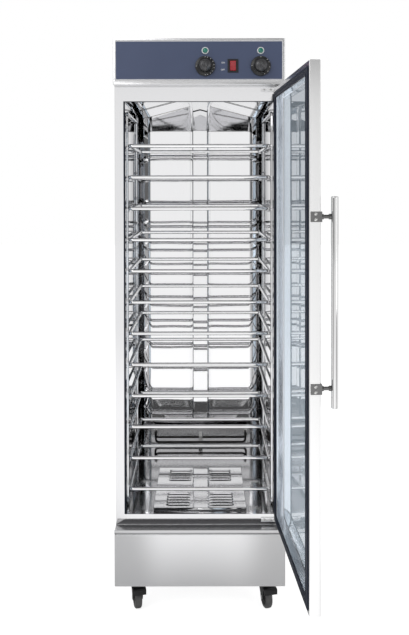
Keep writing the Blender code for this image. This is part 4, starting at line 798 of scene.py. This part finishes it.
def screw_shape(radius):
    """A domed screw head: height falls off as the square of the radius, with a crossed recess
    that sinks the middle where either coordinate is small."""
    steps, sides = 12, 40
    distance = np.linspace(0, 1, steps)[:, None]
    angle = np.linspace(0, 2 * math.pi, sides, endpoint=False)[None]
    across, up = distance * np.cos(angle), distance * np.sin(angle)
    slot = (np.minimum(np.abs(across), np.abs(up)) < 0.14) & (distance < 0.62)
    height = 0.42 * (1 - 0.55 * distance ** 2) - 0.22 * slot
    top = np.stack([across, up, height], axis=-1)
    rim = np.stack([np.cos(angle[0]), np.sin(angle[0]), np.full(sides, -0.02)], axis=-1)
    return surface(np.concatenate([top, rim[None]]) * radius)


def make_screws(name, places, normal, radius, body, turn=None):
    """One piece of several screw heads, each facing along the normal at its place and spun by
    an angle of its own."""
    towards = Vector(normal).to_track_quat("Z", "Y").to_matrix().to_4x4()
    shapes = []
    for index, place in enumerate(places):
        spin = Matrix.Rotation(0.5 + 1.1 * index, 4, "Z")
        matrix = Matrix.Translation(place) @ towards @ spin
        shapes.append(moved(screw_shape(radius), turn @ matrix if turn else matrix))
    piece_of(name, joined(*shapes), STEEL["screw"], body)


def facing_front(x, z, depth=FRONT_Y):
    """Carries a piece modelled along +Z to the panel, its Z towards the front."""
    return Matrix.Translation((x, depth, z)) @ Matrix.Rotation(math.pi / 2, 4, "X")


def make_controls():
    """Knobs, lamps and rocker switch on the blue panel, with the panel's border and marks."""
    dressed("control_panel", PLASTIC["panel"], 0.0003)
    low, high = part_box("control_panel")
    border = rounded_profile([(0.0, low[1] + 0.0002), (0.0, low[1] - 0.0003),
                              (0.0016, low[1] - 0.0003), (0.0016, low[1] + 0.0002)], 0.0001, 2)
    piece_of("panel_border", mitred_ring((low[0], high[0]), (low[2], high[2]), border),
             PLASTIC["print"], "cabinet")
    knobs = (("humidity", 0.018, (-178, -90, -75, -55, -35, -12, 8, 30, 52, 75, 90)),
             ("temperature", 0.179, (178, 90, 45, 25, -8, -38, -65)))
    knob_z, lamp_z, radius, depth = 1.519, 1.564, 0.029, 0.033
    dot_circle, dot_height = 0.0258, 0.0076
    skirt = rounded_profile([
        (0.0, 0.025), (0.0165, 0.025), (0.0185, 0.0235), (0.0195, 0.0105), (0.0232, 0.0082),
        (0.0285, 0.0066), (radius, 0.005), (radius, 0.0006), (0.0, 0.0006),
    ], 0.0012)

    def flutes(profile, angle):
        """One minus a narrow scallop at each of 18 angles, only over the grip's height."""
        over = ((profile[:, 1] > 0.0095) & (profile[:, 1] < 0.0245)
                & (profile[:, 0] > 0.017) & (profile[:, 0] < 0.0205))[:, None]
        return 1 - 0.035 * over * np.clip(np.cos(18 * angle), 0, 1)[None] ** 2

    cap = rounded_profile([
        (0.0, depth - 0.0012), (0.0035, depth - 0.0012), (0.0048, depth - 0.0004),
        (0.0066, depth - 0.0006), (0.008, depth - 0.003), (0.0105, depth - 0.0032),
        (0.015, depth - 0.0058), (0.0168, depth - 0.008), (0.0, depth - 0.008),
    ], 0.0008)
    dot = rounded_profile([(0, 0.0003), (0.00095, 0.0003), (0.00105, 0.0), (0.00105, -0.0006),
                           (0, -0.0006)], 0.0001, 2)
    bezel = rounded_profile([
        (0.0, -0.0004), (0.0073, -0.0004), (0.0076, 0.0034), (0.0086, 0.004),
        (0.0101, 0.0026), (0.0105, 0.0003), (0.0089, 0.0003), (0.0089, -0.022), (0, -0.022),
    ], 0.0005)
    lens = rounded_profile([(0.0, 0.005), (0.0028, 0.0046), (0.0055, 0.0034),
                            (0.0071, 0.002), (0.0071, 0.0), (0.0, 0.0)], 0.0012)
    for name, x, marks in knobs:
        body = f"{name}_knob"
        place = facing_front(x, knob_z)
        piece_of(f"{name}_knob_grip", moved(turned(skirt, 144, flutes), place), PLASTIC["black"],
                 body, (f"{name}_knob",), 30)
        piece_of(f"{name}_knob_cap", moved(turned(cap, 64), place), PLASTIC["cap"], body,
                 (), 50)
        dots = []
        for turn in map(math.radians, marks):
            spot = (dot_circle * math.cos(turn), dot_circle * math.sin(turn), dot_height)
            dots.append(moved(turned(dot, 20), place @ Matrix.Translation(spot)))
        piece_of(f"{name}_knob_dots", joined(*dots), PLASTIC["print"], body)
        lamp = facing_front(x, lamp_z)
        piece_of(f"{name}_lamp_ring", moved(turned(bezel, 56), lamp), PLASTIC["white"],
                 "cabinet", (f"{name}_lamp_bezel",))
        piece_of(f"{name}_lamp_dome", moved(turned(lens, 48), lamp), LENS, "cabinet",
                 (f"{name}_lamp_lens",), 60)
        dressed(f"{name}_controller", PLASTIC["bakelite"], 0.001)
    dressed("switch_housing", PLASTIC["black"], 0.0005)
    dressed("power_rocker", ROCKER, 0.0008)
    dressed("power_inlet", PLASTIC["black"], 0.0004)
    make_word("switch_word_on", "ON", (0.07, 1.529), 0.0062)
    make_word("switch_word_off", "OFF", (0.069, 1.5085), 0.0062)


def make_word(name, words, place, size):
    """Printed letters on the panel: a text made a mesh, then stood up facing the front."""
    curve = bpy.data.curves.new(name, "FONT")
    curve.body = words
    curve.size = size
    curve.align_x = "CENTER"
    curve.align_y = "CENTER"
    curve.extrude = 0.00006
    curve.offset = 0.0001
    guide = bpy.data.objects.new(name, curve)
    bpy.context.scene.collection.objects.link(guide)
    bpy.context.view_layer.update()
    graph = bpy.context.evaluated_depsgraph_get()
    mesh = bpy.data.meshes.new_from_object(guide.evaluated_get(graph))
    bpy.data.objects.remove(guide)
    mesh.transform(facing_front(*place, FRONT_Y - 0.00004))
    finished(name, mesh, PLASTIC["print"], "cabinet")


def make_door():
    """Door frame, bellows gasket, pane, recess trim and the tubular handle. The gasket's level
    members are narrower than its upright ones, to pass the hinge brackets: beyond their inner
    edge its heights shrink by squeezed / full."""
    open_door = (Matrix.Translation(HINGE_PLACE) @ Matrix.Rotation(HINGE_TURN, 4, "Z")
                 @ Matrix.Translation([-value for value in HINGE_PLACE]))
    x, z = (-0.249, 0.249), (0.175, 1.46)
    inner = -0.3045
    dressed("door_frame", STEEL["door"], 0.0009)
    seat, face = inner + 0.0003, inner + 0.004
    middle = inner + 0.0025
    section = rounded_profile([
        (0.006, seat), (0.006, face - 0.0012), (0.0072, face), (0.017, face),
        (0.0184, middle), (0.0212, middle), (0.0226, middle + 0.0008), (0.024, middle),
        (0.0264, face), (0.0308, face), (0.032, face - 0.0012), (0.032, seat),
    ], 0.0009, 4)
    ring, quads = mitred_ring(x, z, section)
    middle_z, start, full, squeezed = sum(z) / 2, sum(z) / 2 - z[0] - 0.032, 0.026, 0.0182
    away = ring[:, 2] - middle_z
    past = np.maximum(np.abs(away) - start, 0)
    ring[:, 2] = middle_z + np.sign(away) * (np.abs(away) - past * (1 - squeezed / full))
    shape = moved((ring, quads), open_door)
    piece_of("door_gasket_bellows", shape, PLASTIC["gasket"], "door",
             ("door_gasket",), 50)
    set_material("door_glass", GLASS)
    # The recess trim's blue tint is a painted reflection on bright steel
    trim = rounded_profile([
        (0.0322, inner - 0.0004), (0.0322, inner - 0.0202), (0.0335, inner - 0.0206),
        (0.0345, inner - 0.0202), (0.033, inner - 0.019), (0.0328, inner - 0.0004),
    ], 0.0002, 2)
    piece_of("door_recess_trim", moved(mitred_ring(x, z, trim), open_door), STEEL["trim"],
             "door")
    low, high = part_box("handle_tube")
    centre = ((low[0] + high[0]) / 2, (low[1] + high[1]) / 2)
    bar = rounded_profile([(0, high[2]), (0.007, high[2]), (0.0085, high[2] - 0.002),
                           (0.0085, low[2] + 0.002), (0.007, low[2]), (0, low[2])], 0.0015)
    piece_of("handle_bar", moved(turned(bar, 56), Matrix.Translation((*centre, 0))),
             STEEL["handle"], "door", ("handle_tube",))
    edge_x, face_y = -0.249 - 0.0003 - 0.0025, inner - 0.0268
    for name in ("top", "bottom"):
        node = f"handle_bracket_{name}"
        dressed(node, STEEL["bracket"], 0.0006)
        low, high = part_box(node)
        height = (low[2] + high[2]) / 2
        places = [(edge_x, face_y + 0.0125, height + side * 0.0065) for side in (-1, 1)]
        make_screws(f"handle_screws_{name}", places, (-1, 0, 0), BRACKET_SCREW, "door",
                    open_door)


def make_hinge_screws():
    """Hinge brackets, with two countersunk screws through the plate of each."""
    for name, z in (("top", 1.4555), ("bottom", 0.1795)):
        dressed(f"hinge_bracket_{name}", STEEL["clip"], 0.0005)
        places = [(x, JAMB_Y - 0.0023, z) for x in (0.1915, 0.2105)]
        make_screws(f"hinge_screws_{name}", places, (0, -1, 0), BRACKET_SCREW, "cabinet")


def make_casters():
    """Tyres, hubs and axle nuts, forks and brake pedals."""
    tread = rounded_profile([
        (0.0215, 0.008), (0.024, 0.0105), (0.0275, 0.0105), (0.0312, 0.007),
        (0.0315, 0.0), (0.0312, -0.007), (0.0275, -0.0105), (0.024, -0.0105),
        (0.0215, -0.008), (0.0215, 0.008),
    ], 0.0016)
    hub = rounded_profile([
        (0.0, 0.0128), (0.004, 0.0128), (0.004, 0.0105), (0.011, 0.0105),
        (0.013, 0.0075), (0.02, 0.0062), (0.0217, 0.0078), (0.0217, -0.0078),
        (0.02, -0.0062), (0.013, -0.0075), (0.011, -0.0105), (0.004, -0.0105),
        (0.004, -0.0128), (0.0, -0.0128),
    ], 0.001)
    nut = rounded_profile([(0, 0.0165), (0.0048, 0.0165), (0.0062, 0.0158),
                           (0.0062, 0.015), (0.0, 0.015)], 0.0003, 2)
    trail, axle_z = -0.023, -0.0635
    for name, (x, y) in CASTERS.items():
        axle = (Matrix.Translation((x, y, 0)) @ Matrix.Rotation(CASTER_TURN, 4, "Z")
                @ Matrix.Translation((0, trail, axle_z)) @ Matrix.Rotation(math.pi / 2, 4, "Y"))
        body = f"wheel_{name}"
        piece_of(f"wheel_tyre_{name}", moved(turned(tread, 64), axle), PLASTIC["tyre"], body,
                 (f"caster_wheel_{name}",), 45)
        piece_of(f"wheel_hub_{name}", moved(turned(hub, 48), axle), PLASTIC["black"], body,
                 (), 35)
        shapes = [moved(turned(nut, 6), axle @ Matrix.Rotation(turn, 4, "X"))
                  for turn in (0, math.pi)]
        piece_of(f"axle_nuts_{name}", joined(*shapes), STEEL["screw"], f"fork_{name}")
        dressed(f"caster_fork_{name}", PLASTIC["coated"], 0.0008)
        if name.startswith("front"):
            dressed(f"brake_pedal_{name}", PLASTIC["black"], 0.001)


FLOOR_SHADE = 0.85
FLOOR_GLOW = 0.8
FLOOR_SHINE = 0.82
WORLD_LIGHT = 0.45
# What polished metal sees in front, by the sine of the height: pale wall, dark band, soft lamp,
# dark ceiling; the wall and the floor are bright only near the middle, by the sideways slope
DOME = ((0.0, 1.0), (0.14, 1.0), (0.19, 0.08), (0.3, 0.08), (0.325, 1.0), (0.4, 1.0),
        (0.412, 0.04), (0.47, 0.04), (0.52, 1.0), (0.8, 1.0), (0.88, 0.15))
BRIGHT_SLOPE, DARK_SLOPE = 0.26, 0.5
FLANK = 0.16
SIDE_SLOPES, SIDES = (1.0, 2.2), 0.75
FLOOR_FADE = (0.4, 1.05)
FLOOR_SIZE = 14.0
# Name, place, aim, width, height and power of each soft lamp
LAMPS = (("key", (-1.7, -2.6, 2.6), (0, 0, 0.8), 1.6, 1.6, 24),
         ("fill", (2.2, -2.4, 1.4), (0, 0, 0.7), 1.4, 2.0, 10))
# The camera as it was fitted to the photograph's edges, its turns in degrees
CAMERA_PLACE = (0.01238, -2.55501, 1.16873)
CAMERA_LENS, CAMERA_SHIFT = 43.203, (0.00172, -0.19036)
CAMERA_TURNS = ((0.0062, "Z"), (90 - 0.7253, "X"), (-0.0999, "Z"))


def kinds_of_ray(tree, *kinds):
    """The largest of several of Light Path's answers: 1 for a ray of any of these kinds."""
    path = tree.nodes.new("ShaderNodeLightPath").outputs
    last = path[kinds[0]]
    for kind in kinds[1:]:
        last = maths(tree, "MAXIMUM", last, path[kind])
    return last


def ramp_of(tree, value, stops):
    """A soft ramp from a value to a grey: (position, brightness) for each stop."""
    ramp = tree.nodes.new("ShaderNodeValToRGB")
    ramp.color_ramp.interpolation = "EASE"
    for _ in stops[2:]:
        ramp.color_ramp.elements.new(0.5)
    for element, (position, grey) in zip(ramp.color_ramp.elements, stops):
        element.position = position
        element.color = (grey, grey, grey, 1)
    tree.links.new(value, ramp.inputs["Fac"])
    return ramp.outputs["Color"]


def brightness_across(tree, direction):
    """How bright the surroundings are by direction: full within a narrow slope |x| / -y in front,
    dark beside it, and pale again towards the sides and the rear."""
    ahead = maths(tree, "MAXIMUM", maths(tree, "MULTIPLY", direction["Y"], -1.0), 0.001)
    slope = maths(tree, "DIVIDE", maths(tree, "ABSOLUTE", direction["X"]), ahead)
    middle = eased(tree, slope, BRIGHT_SLOPE, DARK_SLOPE, 1.0, FLANK)
    side = eased(tree, slope, *SIDE_SLOPES, 0.0, SIDES)
    return maths(tree, "MAXIMUM", middle, side), side


def floor_material():
    """Pale matt floor. Seen straight on or through glass it glows up to white and still keeps
    the object's shadow; in polished metal it glows only far from the object."""
    material, tree, shader, place = bare_material(
        "pale_floor", Base_Color=(FLOOR_SHADE, FLOOR_SHADE, FLOOR_SHADE, 1), Roughness=0.9,
        Specular_IOR_Level=0.0, Emission_Color=(1, 1, 1, 1))
    direction = node_in(tree, "SeparateXYZ", {}, place).outputs
    away = node_in(tree, "VectorMath", {"operation": "LENGTH"}, place).outputs["Value"]
    far = eased(tree, away, *FLOOR_FADE, 0.0, FLOOR_SHINE)
    bright = maths(tree, "MULTIPLY", far, brightness_across(tree, direction)[0])
    mirrored = maths(tree, "MULTIPLY", bright, kinds_of_ray(tree, "Is Glossy Ray"))
    seen = maths(tree, "MAXIMUM", kinds_of_ray(tree, "Is Camera Ray", "Is Transmission Ray"),
                 mirrored)
    feed(tree, shader.inputs["Emission Strength"], maths(tree, "MULTIPLY", seen, FLOOR_GLOW))
    return material


def studio_world():
    """White surrounding for the eye and for glass; polished metal sees a pale wall in front with
    dark flanks and a dim ceiling, and pale walls at the sides and behind."""
    world = bpy.data.worlds.new("studio")
    world.use_nodes = True
    tree = world.node_tree
    place = tree.nodes.new("ShaderNodeTexCoord").outputs["Generated"]
    direction = node_in(tree, "SeparateXYZ", {}, place).outputs
    ahead, side = brightness_across(tree, direction)
    front = maths(tree, "MULTIPLY", ramp_of(tree, direction["Z"], DOME), ahead)
    dome = maths(tree, "MAXIMUM", front, side)
    colour = mixed_colour(tree, kinds_of_ray(tree, "Is Glossy Ray"), (1, 1, 1, 1), dome)
    seen = kinds_of_ray(tree, "Is Camera Ray", "Is Transmission Ray", "Is Glossy Ray")
    strength = node_in(tree, "MapRange", {}, seen, 0.0, 1.0, WORLD_LIGHT, 1.0).outputs["Result"]
    feed(tree, tree.nodes["Background"].inputs["Color"], colour)
    feed(tree, tree.nodes["Background"].inputs["Strength"], strength)
    return world


def make_studio():
    """Pale floor that keeps the shadow, a white surrounding, soft lamps and the camera."""
    scene = bpy.context.scene
    mesh = bpy.data.meshes.new("floor")
    size, floor_z = FLOOR_SIZE, CAD_BOX[0][2]
    mesh.from_pydata([(-size, -size, floor_z), (size, -size, floor_z), (size, size, floor_z),
                      (-size, size, floor_z)], [], [(0, 1, 2, 3)])
    floor = bpy.data.objects.new("floor", mesh)
    scene.collection.objects.link(floor)
    mesh.materials.append(floor_material())
    scene.world = studio_world()

    for name, place, aim, width, height, power in LAMPS:
        light = bpy.data.lights.new(name, "AREA")
        light.shape = "RECTANGLE"
        light.size, light.size_y = width, height
        light.energy = power
        lamp = bpy.data.objects.new(name, light)
        lamp.location = place
        lamp.rotation_mode = "QUATERNION"
        lamp.rotation_quaternion = (Vector(aim) - Vector(place)).to_track_quat("-Z", "Y")
        scene.collection.objects.link(lamp)

    camera = bpy.data.cameras.new("camera")
    camera.lens = CAMERA_LENS
    camera.sensor_width = 36.0
    camera.shift_x, camera.shift_y = CAMERA_SHIFT
    eye = bpy.data.objects.new("camera", camera)
    eye.location = CAMERA_PLACE
    heading, tilt, roll = (Matrix.Rotation(math.radians(turn), 3, axis)
                           for turn, axis in CAMERA_TURNS)
    eye.rotation_euler = (heading @ tilt @ roll).to_euler()
    scene.collection.objects.link(eye)
    scene.camera = eye
    scene.view_settings.view_transform = "Standard"


make_studio()
make_casing()
make_front_trim()
make_cavity()
make_seams()
make_floor_pieces()
make_rack()
make_controls()
make_door()
make_hinge_screws()
make_casters()
